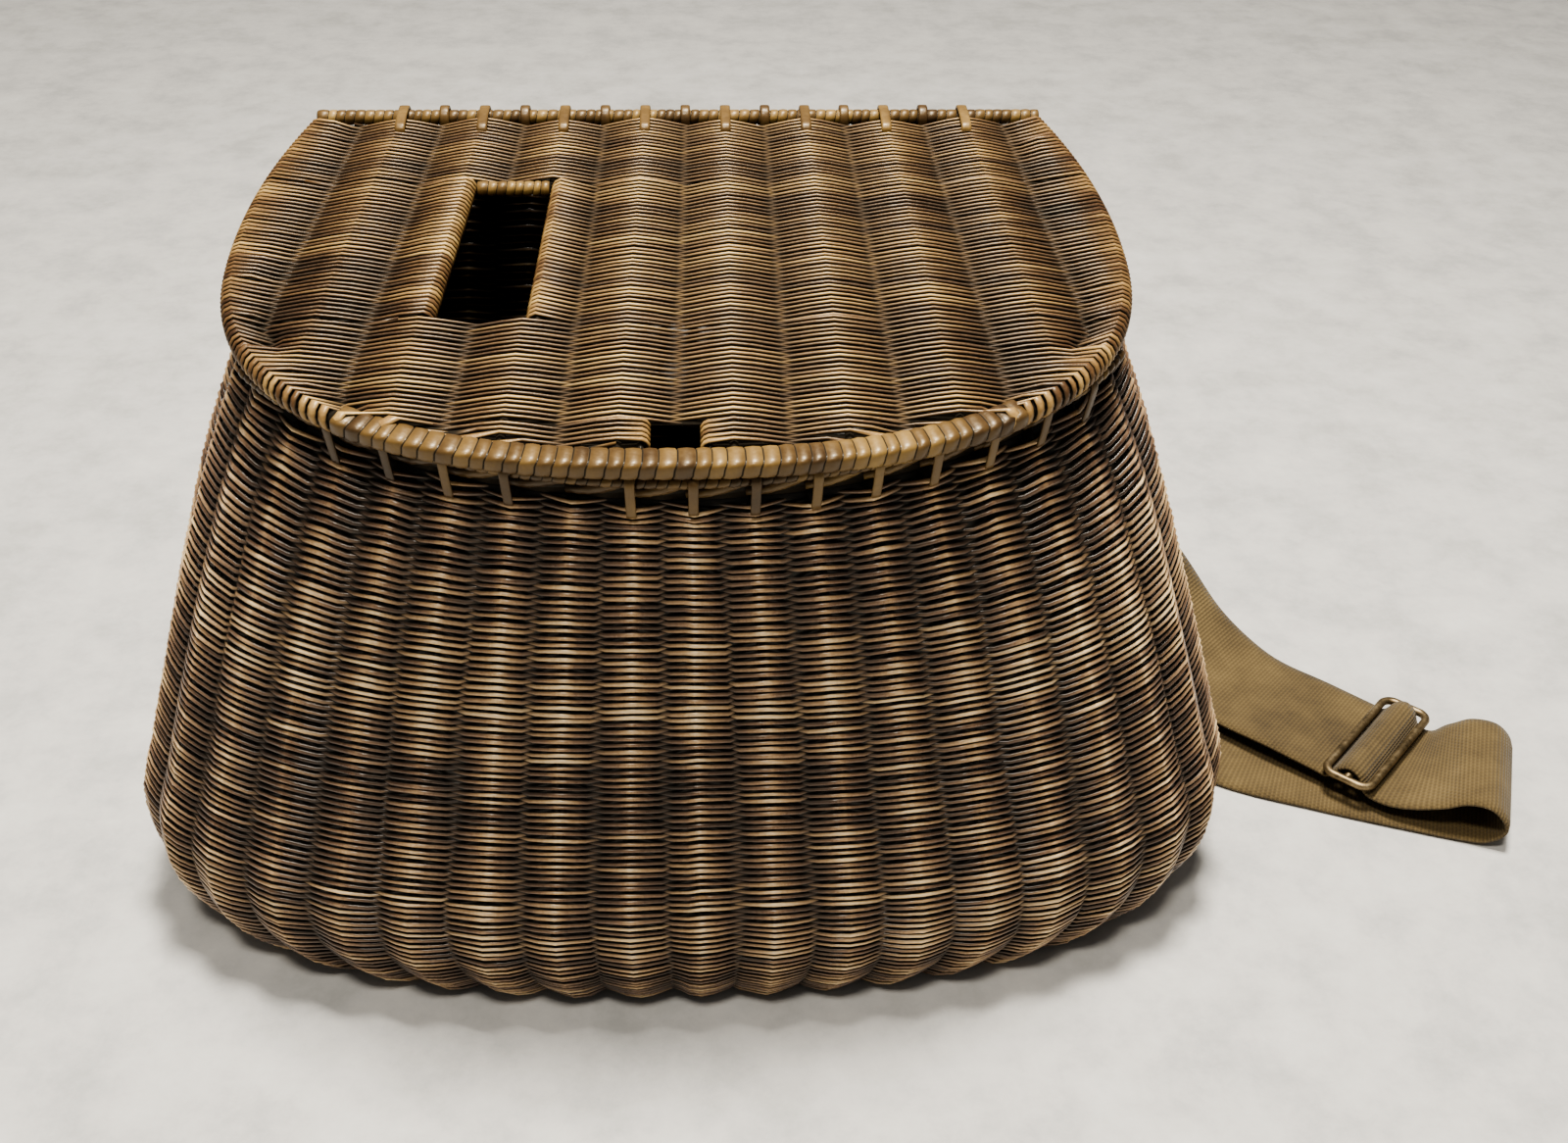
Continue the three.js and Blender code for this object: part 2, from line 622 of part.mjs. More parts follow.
function edgeTube(sign) {
  const steps = 14;
  const start = (LID_REAR + EDGE_START_LEAD) / LID_WIDEST_BEFORE_HINGE;
  const end = RIM_END_SHARE - EDGE_END_LEAD;
  const path = Array.from({ length: steps + 1 }, (_, i) => {
    const point = lidEdge(lerp(start, end, i / steps), LID_EDGE_RADIUS);
    return new THREE.Vector3(sign * point.x, point.y, 0);
  });
  return tube(path, LID_EDGE_RADIUS, 8);
}

// Middle lines of the fish hole's rolled sides.
const HOLE_SIDES = [FISH_HOLE_LEFT_RIB, FISH_HOLE_RIGHT_RIB];
const HOLE_BACK = -FISH_HOLE_REAR;
const HOLE_FRONT = -FISH_HOLE_REAR - FISH_HOLE_LENGTH;

function fishHoleCut() {
  const corner = (rib, y) => new THREE.Vector2(ribX(rib, y), y);
  return prism([
    corner(HOLE_SIDES[0], HOLE_FRONT), corner(HOLE_SIDES[1], HOLE_FRONT),
    corner(HOLE_SIDES[1], HOLE_BACK), corner(HOLE_SIDES[0], HOLE_BACK),
  ]);
}

function holeEdge(rib) {
  const ends = [HOLE_BACK + HOLE_EDGE_RADIUS, HOLE_FRONT - HOLE_EDGE_RADIUS];
  return tube(ends.map((y) => new THREE.Vector3(ribX(rib, y), y, 0)), HOLE_EDGE_RADIUS, 8);
}

const SHEET_FRONT = lidEdge(2, LID_RIM_WIDTH + LID_RIM_GAP).y;
const NOTCH_SIDES = [NOTCH_CENTRE - NOTCH_SPREAD / 2, NOTCH_CENTRE + NOTCH_SPREAD / 2];

function notchCut() {
  const front = SHEET_FRONT - LID_RIM_WIDTH;
  const back = SHEET_FRONT + NOTCH_DEPTH;
  return prism([
    new THREE.Vector2(NOTCH_SIDES[0], front), new THREE.Vector2(NOTCH_SIDES[1], front),
    new THREE.Vector2(NOTCH_SIDES[1], back), new THREE.Vector2(NOTCH_SIDES[0], back),
  ]);
}

function notchEdge(x) {
  const path = [SHEET_FRONT + NOTCH_DEPTH, SHEET_FRONT + GAP].map((y) => new THREE.Vector3(x, y, 0));
  return tube(path, NOTCH_EDGE_RADIUS, 8);
}

// Hinge tie, from the side: a ring round the rod that widens into a loop through the lid.
const LOOP_REACH = LID_REAR + HINGE_TIE_REACH;
const LOOP_HALF = LID_RIDGE_THICKNESS / 2 + GAP;
const TIE_RING_TURN = 0.42 * Math.PI;

function hingeTieShape() {
  const outline = (radius, half, reach) => [
    ...arcPoints(radius, -TIE_RING_TURN, TIE_RING_TURN, 6),
    new THREE.Vector2(-LID_REAR, half),
    new THREE.Vector2(-reach, half),
    new THREE.Vector2(-reach, -half),
    new THREE.Vector2(-LID_REAR, -half),
  ];
  const shape = new THREE.Shape(outline(
    TIE_RADIUS + CANE_THICKNESS, LOOP_HALF + CANE_THICKNESS, LOOP_REACH + CANE_THICKNESS,
  ));
  shape.holes.push(new THREE.Path(outline(TIE_RADIUS, LOOP_HALF, LOOP_REACH)));
  return shape;
}

function hingeTie(name, rib) {
  const tie = mesh(name, extrudeToWidth(hingeTieShape(), CANE_WIDTH), MATERIALS.cane);
  tie.applyMatrix4(ACROSS_THE_HINGE.clone().setPosition(ribX(rib, -LID_REAR), 0, 0));
  return tie;
}

function tieSlot(rib) {
  const x = ribX(rib, -LID_REAR);
  const half = CANE_WIDTH / 2 + GAP;
  const back = -LOOP_REACH + GAP;
  const front = -LOOP_REACH - CANE_THICKNESS - GAP;
  return prism([
    new THREE.Vector2(x - half, front), new THREE.Vector2(x + half, front),
    new THREE.Vector2(x + half, back), new THREE.Vector2(x - half, back),
  ]);
}

const RIBS = Array.from({ length: RIB_COUNT }, (_, rib) => rib);

function lidPanelGeometry() {
  let panel = ribbedSlab().intersect(prism(sheetOutline()));
  panel = panel.add(edgeTube(1)).add(edgeTube(-1));
  panel = panel.subtract(fishHoleCut());
  for (const rib of HOLE_SIDES) panel = panel.add(holeEdge(rib));
  panel = panel.subtract(notchCut());
  for (const x of NOTCH_SIDES) panel = panel.add(notchEdge(x));
  for (const rib of RIBS) panel = panel.subtract(tieSlot(rib));
  return geometryFrom(panel);
}

// The lid's front rim: a near-square band whose outer edge is the lid's outline.
function lidRimGeometry() {
  const half = LID_RIM_WIDTH / 2;
  const top = LID_RIM_HEIGHT / 2;
  const bevel = LID_RIM_BEVEL;
  const section = [
    [half, -top + bevel], [half, top - bevel / 2], [half - bevel / 2, top],
    [-half + bevel, top], [-half, top - bevel], [-half, -top], [half - bevel, -top],
  ];
  const steps = 36;
  const frames = Array.from({ length: steps + 1 }, (_, i) => {
    const side = i / steps < 0.5 ? 1 : -1;
    const share = lerp(RIM_END_SHARE, 2, 1 - Math.abs(1 - (2 * i) / steps));
    const outer = lidEdge(share);
    const middle = lidEdge(share, half);
    const outward = outer.clone().sub(middle).normalize();
    return {
      origin: new THREE.Vector3(side * middle.x, middle.y, 0),
      side: new THREE.Vector3(side * outward.x, outward.y, 0),
      rise: UP,
    };
  });
  return sweep(frames, section);
}

function fishHoleBar() {
  const y = HOLE_BACK - FISH_BAR_RADIUS - FISH_BAR_GAP;
  const seat = HOLE_EDGE_RADIUS + GAP;
  const left = ribX(HOLE_SIDES[0], y) + seat;
  const right = ribX(HOLE_SIDES[1], y) - seat;
  const bar = mesh('fish_hole_bar', rodAlongX(FISH_BAR_RADIUS, right - left, 8), MATERIALS.cane);
  bar.position.set((left + right) / 2, y, FISH_BAR_LIFT);
  return bar;
}

// Strap loops: a round bar that stands off the back wall on two legs.
function backWallY(x, z) {
  const heightShare = z / wallHeight(RIM_SECTION.back);
  const outerPoint = (stake) => wallPoint(stake, heightShare, 1);
  return outerPoint(backStakeAt(x, outerPoint)).y;
}

function seatOnWall(x, z) {
  const reach = [-LOOP_BAR_RADIUS, 0, LOOP_BAR_RADIUS];
  return Math.max(...reach.flatMap((dx) => reach.map((dz) => backWallY(x + dx, z + dz)))) + GAP;
}

const LOOP_BAR_Y = RIM_SECTION.back + RIDGE_THICKNESS / 2 + LOOP_STANDOFF;

function strapLoop(name, x) {
  const low = LOOP_CENTRE_HEIGHT - LOOP_HEIGHT / 2;
  const high = LOOP_CENTRE_HEIGHT + LOOP_HEIGHT / 2;
  const at = (y, z) => new THREE.Vector3(x, y, z);
  const bend = (z, inward) => new THREE.QuadraticBezierCurve3(
    at(LOOP_BAR_Y - LOOP_CORNER, z), at(LOOP_BAR_Y, z), at(LOOP_BAR_Y, z + inward * LOOP_CORNER),
  ).getPoints(3);
  const points = [
    at(seatOnWall(x, low), low), ...bend(low, 1), ...bend(high, -1).reverse(), at(seatOnWall(x, high), high),
  ];
  const frames = points.map((origin, i) => {
    const before = points[Math.max(i - 1, 0)];
    const after = points[Math.min(i + 1, points.length - 1)];
    const along = after.clone().sub(before).normalize();
    const side = new THREE.Vector3(1, 0, 0);
    return { origin, side, rise: new THREE.Vector3().crossVectors(along, side) };
  });
  return mesh(name, sweep(frames, roundSection(LOOP_BAR_RADIUS, 8)), MATERIALS.cane);
}

// Strap end: the tail comes back round the loop's bar and lies behind the run.
const STRAP_BEND = LOOP_BAR_RADIUS + STRAP_THICKNESS / 2 + 1.1;
const TAIL_STANDOFF = STRAP_THICKNESS + 2.2;
const TAIL_LENGTH = 30;
const TAIL_SETTLES = 18;
const TAIL_RISES = 8;
const DIAGONAL = 0.7;

function strapEnd(x) {
  const bend = STRAP_BEND;
  const row = (dx, dy) => ({ x: x + dx, y: LOOP_BAR_Y + dy, z: LOOP_CENTRE_HEIGHT, tilt: 90 });
  return [
    row(TAIL_LENGTH, TAIL_STANDOFF - bend), row(TAIL_SETTLES, TAIL_STANDOFF - bend),
    row(TAIL_RISES, bend * 0.75), row(0, bend), row(-bend * DIAGONAL, bend * DIAGONAL), row(-bend, 0),
    row(-bend * DIAGONAL, -bend * DIAGONAL), row(0, -bend),
  ];
}

// Through the slider: under its outer wire, over the middle bar and under the other wire. The strap
// leads in and out past the wires, and drops from the bar within a share of the way to each.
const UNDER_SLACK = 1.3;
const LEAD_IN = 4;
const LEAD_OUT = 5.5;
const INSIDE_IN = 1;
const INSIDE_OUT = 1.8;
const BAR_SHARE = 0.4;

function strapThroughSlider() {
  const rise = SLIDER_WIRE_RADIUS + GAP + STRAP_THICKNESS / 2;
  const half = SLIDER_PITCH / 2;
  const under = -rise - UNDER_SLACK;
  const steps = [
    [-half - LEAD_IN, under], [INSIDE_IN - half, under], [-half * BAR_SHARE, rise / 2],
    [0, rise + GAP],
    [half * BAR_SHARE, rise / 2], [half - INSIDE_OUT, under], [half + LEAD_OUT, under - GAP],
  ];
  return steps.map(([along, z]) => ({
    x: SLIDER_CENTRE.x + along * Math.cos(SLIDER_HEADING),
    y: SLIDER_CENTRE.y + along * Math.sin(SLIDER_HEADING),
    z: SLIDER_CENTRE.z + z,
    tilt: 0,
  }));
}

const hanging = (rows) => rows.map(({ hang, ...row }) => ({ ...row, z: hang * LOOP_CENTRE_HEIGHT }));

// Each place's width direction, averaged over its neighbours along the strap.
function steadyWidths(origins, widths) {
  return origins.map((origin, i) => {
    const sum = new THREE.Vector3();
    widths.forEach((width, j) => {
      const apart = origin.distanceTo(origins[j]) / WEBBING_TURN;
      if (Math.abs(i - j) <= TURN_REACH) sum.addScaledVector(width, Math.exp(-apart * apart));
    });
    return sum.normalize();
  });
}

function strapGeometry() {
  const rows = [
    ...strapEnd(LOOP_SPREAD / 2), ...hanging(STRAP_HANG_OUT), ...STRAP_FLOOR_OUT,
    ...strapThroughSlider(),
    ...STRAP_FLOOR_BACK, ...hanging(STRAP_HANG_BACK), ...strapEnd(-LOOP_SPREAD / 2).reverse(),
  ];
  const curve = new THREE.CatmullRomCurve3(rows.map((row) => new THREE.Vector3(row.x, row.y, row.z)));
  const steps = 2 * (rows.length - 1);
  const places = Array.from({ length: steps + 1 }, (_, i) => i / steps);
  const origins = places.map((place) => curve.getPoint(place));
  let across = UP.clone();
  const widths = places.map((place) => {
    const row = Math.min(Math.floor(place * (rows.length - 1)), rows.length - 2);
    const tilt = lerp(rows[row].tilt, rows[row + 1].tilt, place * (rows.length - 1) - row);
    const along = curve.getTangent(place);
    const level = new THREE.Vector3().crossVectors(UP, along).normalize();
    const angle = THREE.MathUtils.degToRad(tilt);
    const far = level.multiplyScalar(level.dot(across) < 0 && tilt < UPRIGHT_TILT ? -1 : 1);
    across = far.multiplyScalar(Math.cos(angle)).addScaledVector(UP, Math.sin(angle));
    across.addScaledVector(along, -across.dot(along)).normalize();
    return across.clone();
  });
  const steady = steadyWidths(origins, widths);
  const frames = places.map((place, i) => {
    const rise = new THREE.Vector3().crossVectors(curve.getTangent(place), steady[i]).normalize();
    return { origin: origins[i], side: steady[i], rise };
  });
  const half = STRAP_WIDTH / 2;
  const thick = STRAP_THICKNESS / 2;
  return sweep(frames, [[half, -thick], [half, thick], [-half, thick], [-half, -thick]]);
}

// Slider: a rounded wire frame and its middle bar, one soldered piece.
function sliderGeometry() {
  const halfLength = STRAP_WIDTH / 2 + SLIDER_SLACK + SLIDER_WIRE_RADIUS;
  const reachX = SLIDER_PITCH / 2 - SLIDER_CORNER;
  const reachY = halfLength - SLIDER_CORNER;
  const turn = (x, y, from) => arcPoints(SLIDER_CORNER, from, from + Math.PI / 2, 3)
    .map((p) => new THREE.Vector3(x + p.x, y + p.y, 0));
  const path = [
    ...turn(reachX, reachY, 0), ...turn(-reachX, reachY, Math.PI / 2),
    ...turn(-reachX, -reachY, Math.PI), ...turn(reachX, -reachY, -Math.PI / 2),
  ];
  const frames = path.map((origin, i) => {
    const before = path[(i + path.length - 1) % path.length];
    const along = path[(i + 1) % path.length].clone().sub(before).normalize();
    return { origin, side: new THREE.Vector3().crossVectors(UP, along), rise: UP };
  });
  const radius = SLIDER_WIRE_RADIUS;
  const frame = solidFrom(sweep(frames, roundSection(radius, 6), true));
  const bar = solidFrom(new THREE.CylinderGeometry(radius, radius, 2 * halfLength, 6));
  return geometryFrom(frame.add(bar));
}

function slider() {
  const piece = mesh('slider', sliderGeometry(), MATERIALS.wire);
  piece.position.copy(SLIDER_CENTRE);
  piece.rotation.z = SLIDER_HEADING;
  return piece;
}

const twoDigits = (index) => String(index + 1).padStart(2, '0');

const creel = new THREE.Group();
creel.add(mesh('basket', basketGeometry(), MATERIALS.basket));
creel.add(mesh('rim_border', borderGeometry(), MATERIALS.cane));
creel.add(mesh('rim_rod', rimRodGeometry(), MATERIALS.cane));
TIED_STAKES.forEach((stake, i) => creel.add(borderTie(`border_tie_${twoDigits(i)}`, stake)));

const hingeRod = mesh('hinge_rod', rodAlongX(HINGE_ROD_RADIUS, HINGE_ROD_LENGTH, 12), MATERIALS.cane);
hingeRod.position.set(0, HINGE_Y, HINGE_Z);
creel.add(hingeRod);
RIBS.slice(1).forEach((rib, i) => {
  creel.add(rodTie(`rod_tie_${twoDigits(i)}`, ribX(rib - 0.5, -LID_REAR)));
});

lid.add(mesh('lid_panel', lidPanelGeometry(), MATERIALS.lid));
lid.add(mesh('lid_rim', lidRimGeometry(), MATERIALS.cane));
lid.add(fishHoleBar());
RIBS.forEach((rib, i) => lid.add(hingeTie(`hinge_tie_${twoDigits(i)}`, rib)));
creel.add(lid);

creel.add(mesh('strap', strapGeometry(), MATERIALS.webbing));
creel.add(slider());
creel.add(strapLoop('strap_loop_right', LOOP_SPREAD / 2));
creel.add(strapLoop('strap_loop_left', -LOOP_SPREAD / 2));

export default creel;
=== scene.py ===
from math import acos, ceil, cos, floor, pi, radians, sin, tan

import bpy
import numpy as np
from mathutils import Matrix, Vector


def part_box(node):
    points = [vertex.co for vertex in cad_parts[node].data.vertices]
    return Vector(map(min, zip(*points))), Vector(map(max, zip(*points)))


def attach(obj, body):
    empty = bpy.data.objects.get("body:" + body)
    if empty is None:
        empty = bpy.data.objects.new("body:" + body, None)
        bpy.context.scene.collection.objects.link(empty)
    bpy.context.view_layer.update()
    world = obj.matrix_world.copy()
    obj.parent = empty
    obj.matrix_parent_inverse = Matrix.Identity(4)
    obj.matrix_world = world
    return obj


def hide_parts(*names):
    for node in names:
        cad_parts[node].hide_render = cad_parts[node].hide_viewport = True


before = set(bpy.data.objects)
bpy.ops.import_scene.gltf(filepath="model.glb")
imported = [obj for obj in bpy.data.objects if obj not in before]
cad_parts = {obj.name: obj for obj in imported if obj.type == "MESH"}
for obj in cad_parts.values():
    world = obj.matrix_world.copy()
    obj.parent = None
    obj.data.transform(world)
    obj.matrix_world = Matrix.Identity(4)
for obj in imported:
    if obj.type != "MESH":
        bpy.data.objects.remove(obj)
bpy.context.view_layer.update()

MM = 0.001
SEED = 20


def new_object(name, data):
    obj = bpy.data.objects.new(name, data)
    bpy.context.scene.collection.objects.link(obj)
    return obj


# Camera
CAMERA_PLACE = (0.004496, -0.442399, 0.418983)
YAW, PITCH, ROLL = (radians(a) for a in (3.3251, 34.5449, 1.1007))
LENS, SENSOR = 39.375, 36


def make_camera():
    right = Vector((cos(YAW), -sin(YAW), 0))
    forward = Vector((sin(YAW) * cos(PITCH), cos(YAW) * cos(PITCH), -sin(PITCH)))
    up = right.cross(forward)
    x = right * cos(ROLL) + up * sin(ROLL)
    y = up * cos(ROLL) - right * sin(ROLL)
    data = bpy.data.cameras.new("camera")
    data.lens = LENS
    data.sensor_width = SENSOR
    data.clip_start = 0.01
    cam = new_object("camera", data)
    m = Matrix((x, y, -forward)).transposed().to_4x4()
    m.translation = Vector(CAMERA_PLACE)
    cam.matrix_world = m
    bpy.context.scene.camera = cam


make_camera()


# Numbers repeated from the part's source, in millimetres
STAKE_COUNT = 41
STAKE_SHIFT = 0.16
HALF_LENGTH = 178.0
FRONT_REACH = 84.4
BACK_REACH = 95.0
BACK_HOLLOW = 7.0
BACK_SQUARENESS = 8.0
FRONT_HEIGHT = 183.0
BELLY_HEIGHT = 0.22
RIM_SLOPE = radians(11.2)
FRONT_ROUNDNESS = 2.41
RIDGE_HALF = 3.6
# Rows of height share, then shares of the length, front, back, hollow, squareness and roundness.
SECTIONS = np.array([
    (0, 0.8, 0.74, 0.86, 0.4, 0.4, 1),
    (0.015, 0.876, 0.839, 0.9, 0.5, 0.42, 1),
    (0.05, 0.932, 0.912, 0.94, 0.6, 0.45, 1),
    (0.1, 0.972, 0.964, 0.97, 0.7, 0.48, 1),
    (0.22, 1, 1, 0.99, 0.9, 0.52, 1),
    (0.36, 0.959, 0.951, 1, 1, 0.56, 1),
    (0.51, 0.908, 0.906, 1, 1, 0.64, 1),
    (0.7, 0.839, 0.864, 1, 0.7, 0.76, 0.97),
    (0.85, 0.78, 0.842, 0.998, 0.35, 0.88, 0.9),
    (1, 0.708, 0.83, 0.995, 0, 1, 0.78),
])
HINGE_Y, HINGE_Z = 88.525, 228.4615
RIM_FRONT = SECTIONS[-1, 2] * FRONT_REACH - RIDGE_HALF


def hermite(a, b, slope_a, slope_b, t):
    """The smooth curve from a to b with the given slopes, at shares t of the way."""
    return (a * (2 * t**3 - 3 * t**2 + 1) + slope_a * (t**3 - 2 * t**2 + t)
            + b * (-2 * t**3 + 3 * t**2) + slope_b * (t**3 - t**2))


def hermite_rows(h, rows):
    """Smooth values of a table's columns at heights h."""
    t = rows[:, 0]
    h = np.clip(h, t[0], t[-1])
    i = np.clip(np.searchsorted(t, h, side="right") - 1, 0, len(t) - 2)
    dt = t[i + 1] - t[i]
    s = ((h - t[i]) / dt)[..., None]
    v = rows[:, 1:]
    m = np.gradient(v, t, axis=0)
    return hermite(v[i], v[i + 1], m[i] * dt[..., None], m[i + 1] * dt[..., None], s)


def outline(angle, sec):
    """Points of the wall's middle outline for one section row."""
    length, front, back, hollow, square, rounded = sec
    half = length * HALF_LENGTH - RIDGE_HALF
    front_reach = front * FRONT_REACH - RIDGE_HALF
    back_reach = back * BACK_REACH - RIDGE_HALF
    c, s = np.cos(angle), np.sin(angle)
    n = np.where(s < 0, FRONT_ROUNDNESS, square * BACK_SQUARENESS)
    share = np.sign(c) * np.abs(c) ** (2 / n)
    r = rounded * FRONT_ROUNDNESS
    y_front = -front_reach * np.maximum(1 - np.abs(share) ** r, 0) ** (1 / r)
    y_back = back_reach * np.abs(s) ** (2 / n) - hollow * BACK_HOLLOW * np.cos(np.pi / 2 * share) ** 2 * s**2
    return np.stack([half * share, np.where(s < 0, y_front, y_back)], -1)


def arc_lengths(p):
    return np.concatenate([[0], np.cumsum(np.linalg.norm(np.diff(p, axis=0), axis=1))])


def wall_height(y):
    return FRONT_HEIGHT + (y + RIM_FRONT) * tan(RIM_SLOPE)


# The wall's middle as a grid over heights and stakes. The front half follows the source's stakes;
# the back half spreads its stakes evenly at every height. Below CORNER_ANGLE from either side the
# angles are eased, because the squarer back turns its corners quickly there.
U_STEPS = 24
GRID_H = 220
CORNER_ANGLE = 0.3
CORNER_EASE = 2.5


def wall_grid():
    fine = np.linspace(-pi / 2, 1.5 * pi, 20001)
    full = hermite_rows(np.array([BELLY_HEIGHT]), SECTIONS)[0]
    lengths = arc_lengths(outline(fine, full))
    stakes = np.arange(STAKE_COUNT * U_STEPS) / U_STEPS
    turn = ((stakes + STAKE_SHIFT) / STAKE_COUNT) % 1
    angles = np.interp(turn * lengths[-1], lengths, fine)
    back = (angles > 0) & (angles < pi)
    at_right, at_left = (np.interp(a, fine, lengths) for a in (0, pi))
    share = (turn * lengths[-1] - at_right) / (at_left - at_right)
    back_fine = pi * (1 - np.cos(np.linspace(0, pi, 4001))) / 2
    eased = CORNER_ANGLE * (back_fine / CORNER_ANGLE) ** CORNER_EASE
    back_fine = np.where(back_fine < CORNER_ANGLE, eased, back_fine)
    mirrored = pi - back_fine[::-1]
    back_fine = np.where(back_fine > pi / 2, mirrored, back_fine)
    grid = np.zeros((GRID_H, len(stakes), 3))
    for k, h in enumerate(np.linspace(0, 1, GRID_H)):
        sec = hermite_rows(np.array([h]), SECTIONS)[0]
        xy = outline(angles, sec)
        curve = outline(back_fine, sec)
        along = arc_lengths(curve)
        for axis in (0, 1):
            xy[back, axis] = np.interp(share[back] * along[-1], along, curve[:, axis])
        grid[k, :, :2] = xy
        grid[k, :, 2] = h * wall_height(xy[:, 1])
    return grid


GRID = wall_grid()


def wall_middle(stake, height):
    """Middle of the wall, from the grid, for arrays of stake and height."""
    g = np.mod(stake, STAKE_COUNT) * U_STEPS
    i = np.floor(g).astype(int)
    s = (g - i)[..., None]
    i0, i1 = i % GRID.shape[1], (i + 1) % GRID.shape[1]
    k = np.clip(height, 0, 1) * (GRID_H - 1)
    j = np.clip(np.floor(k).astype(int), 0, GRID_H - 2)
    t = (k - j)[..., None]
    low = GRID[j, i0] * (1 - s) + GRID[j, i1] * s
    high = GRID[j + 1, i0] * (1 - s) + GRID[j + 1, i1] * s
    return low * (1 - t) + high * t


def unit(v):
    return v / np.maximum(np.linalg.norm(v, axis=-1, keepdims=True), 1e-12)


def square_to(v, axis):
    """The part of v that is square to an axis, as a unit vector."""
    return unit(v - axis * np.sum(v * axis, -1, keepdims=True))


def section(phi, power):
    """Cosine and sine of a round section, or of a squarer one where power is below 1."""
    c, s = np.cos(phi), np.sin(phi)
    return np.sign(c) * np.abs(c) ** power, np.sign(s) * np.abs(s) ** power


def wall_outward(stake, height):
    along = wall_middle(stake + 0.15, height) - wall_middle(stake - 0.15, height)
    return unit(np.stack([along[..., 1], -along[..., 0], np.zeros_like(along[..., 0])], -1))


def smooth_noise(x, seed, scale=1.0):
    """Value noise from -1 to 1 along x, smooth, one knot per scale."""
    rng = np.random.default_rng(SEED + seed)
    table = rng.uniform(-1, 1, 4096)
    p = np.asarray(x) / scale
    i = np.floor(p).astype(int)
    f = p - i
    f = f * f * (3 - 2 * f)
    return table[i % 4096] * (1 - f) + table[(i + 1) % 4096] * f


def one_noise(x, seed):
    """The noise at a single place."""
    return smooth_noise(np.array([x]), seed)[0]


def smoothstep(x, a, b):
    t = np.clip((x - a) / (b - a), 0, 1)
    return t * t * (3 - 2 * t)


# Mesh building
class Builder:
    """Collects tubes, and makes one object of them."""

    def __init__(self):
        self.points, self.quads, self.caps, self.tone, self.rise, self.uv = [], [], [], [], [], []
        self.count = 0

    def tube(self, centre, side, up, half_side, half_up, tone=0.5, rise=1.0, sides=6, power=1.0,
             closed=False, phase=0.0):
        """A tube through centres; its section is an ellipse, or squarer where power is below 1."""
        n = len(centre)
        c, s = section(2 * pi * np.arange(sides) / sides + phase, power)
        hs, hu = (np.broadcast_to(half, (n,))[:, None, None] for half in (half_side, half_up))
        centre, side, up = centre[:, None, :], side[:, None, :], up[:, None, :]
        p = centre + side * hs * c[None, :, None] + up * hu * s[None, :, None]
        self.rings(p, tone, rise, closed)

    def rings(self, p, tone=0.5, rise=1.0, closed=False):
        n, sides = p.shape[:2]
        base = self.count
        middle = p.mean(1)
        travel = unit(np.diff(middle, axis=0))
        spokes = p[:-1] - middle[:-1, None, :]
        spin = np.cross(spokes, np.roll(spokes, -1, axis=1)).sum(1)
        forwards = np.sum(spin * travel) > 0
        i = np.arange(n if closed else n - 1)[:, None]
        j = np.arange(sides)[None, :]
        a = base + i * sides + j
        b = base + i * sides + (j + 1) % sides
        nxt = (i + 1) % n
        c = base + nxt * sides + (j + 1) % sides
        d = base + nxt * sides + j
        order = (a, b, c, d) if forwards else (a, d, c, b)
        self.quads.append(np.stack(np.broadcast_arrays(*order), -1).reshape(-1, 4))
        if not closed:
            first = base + np.arange(sides)
            last = base + (n - 1) * sides + np.arange(sides)
            self.caps += [first[::-1] if forwards else first, last if forwards else last[::-1]]
        self.points.append(p.reshape(-1, 3))
        tone = np.asarray(tone, float).reshape(-1, 1)
        self.tone.append(np.broadcast_to(tone, (n, sides)).reshape(-1))
        self.rise.append(np.broadcast_to(rise, (n, sides)).reshape(-1))
        self.count += n * sides

    def object(self, name, material, body, nodes=(), lowest=None):
        points = np.concatenate(self.points)
        if lowest is not None:
            points[:, 2] = np.maximum(points[:, 2], lowest)
        quads = np.concatenate(self.quads)
        mesh = bpy.data.meshes.new(name)
        mesh.vertices.add(len(points))
        mesh.vertices.foreach_set("co", (points * MM).astype(np.float32).reshape(-1))
        loops = np.concatenate([quads.reshape(-1), *self.caps]) if self.caps else quads.reshape(-1)
        totals = np.concatenate([np.full(len(quads), 4), np.array([len(c) for c in self.caps], int)])
        starts = np.concatenate([[0], np.cumsum(totals)[:-1]])
        mesh.loops.add(len(loops))
        mesh.loops.foreach_set("vertex_index", loops.astype(np.int32))
        mesh.polygons.add(len(totals))
        mesh.polygons.foreach_set("loop_start", starts.astype(np.int32))
        mesh.polygons.foreach_set("loop_total", totals.astype(np.int32))
        mesh.polygons.foreach_set("use_smooth", np.full(len(totals), True))
        for label, values in (("tone", self.tone), ("rise", self.rise)):
            layer = mesh.attributes.new(label, "FLOAT", "POINT")
            layer.data.foreach_set("value", np.concatenate(values).astype(np.float32))
        if self.uv:
            layer = mesh.uv_layers.new(name="weave")
            uv = np.concatenate(self.uv)
            layer.data.foreach_set("uv", uv[loops].astype(np.float32).reshape(-1))
        mesh.update()
        mesh.validate()
        obj = new_object(name, mesh)
        mesh.materials.append(material)
        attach(obj, body)
        if nodes:
            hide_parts(*nodes)


# Materials
STREAK_DEPTH = 0.22
# Pitch of the webbing's ribs along it and of its yarns across it
RIB_PITCH, YARN_PITCH = 1.35, 1.8


def new_material(name):
    mat = bpy.data.materials.new(name)
    mat.use_nodes = True
    return mat, mat.node_tree, mat.node_tree.nodes["Principled BSDF"]


def node(tree, kind, **inputs):
    n = tree.nodes.new(kind)
    for key, value in inputs.items():
        n.inputs[key].default_value = value
    return n


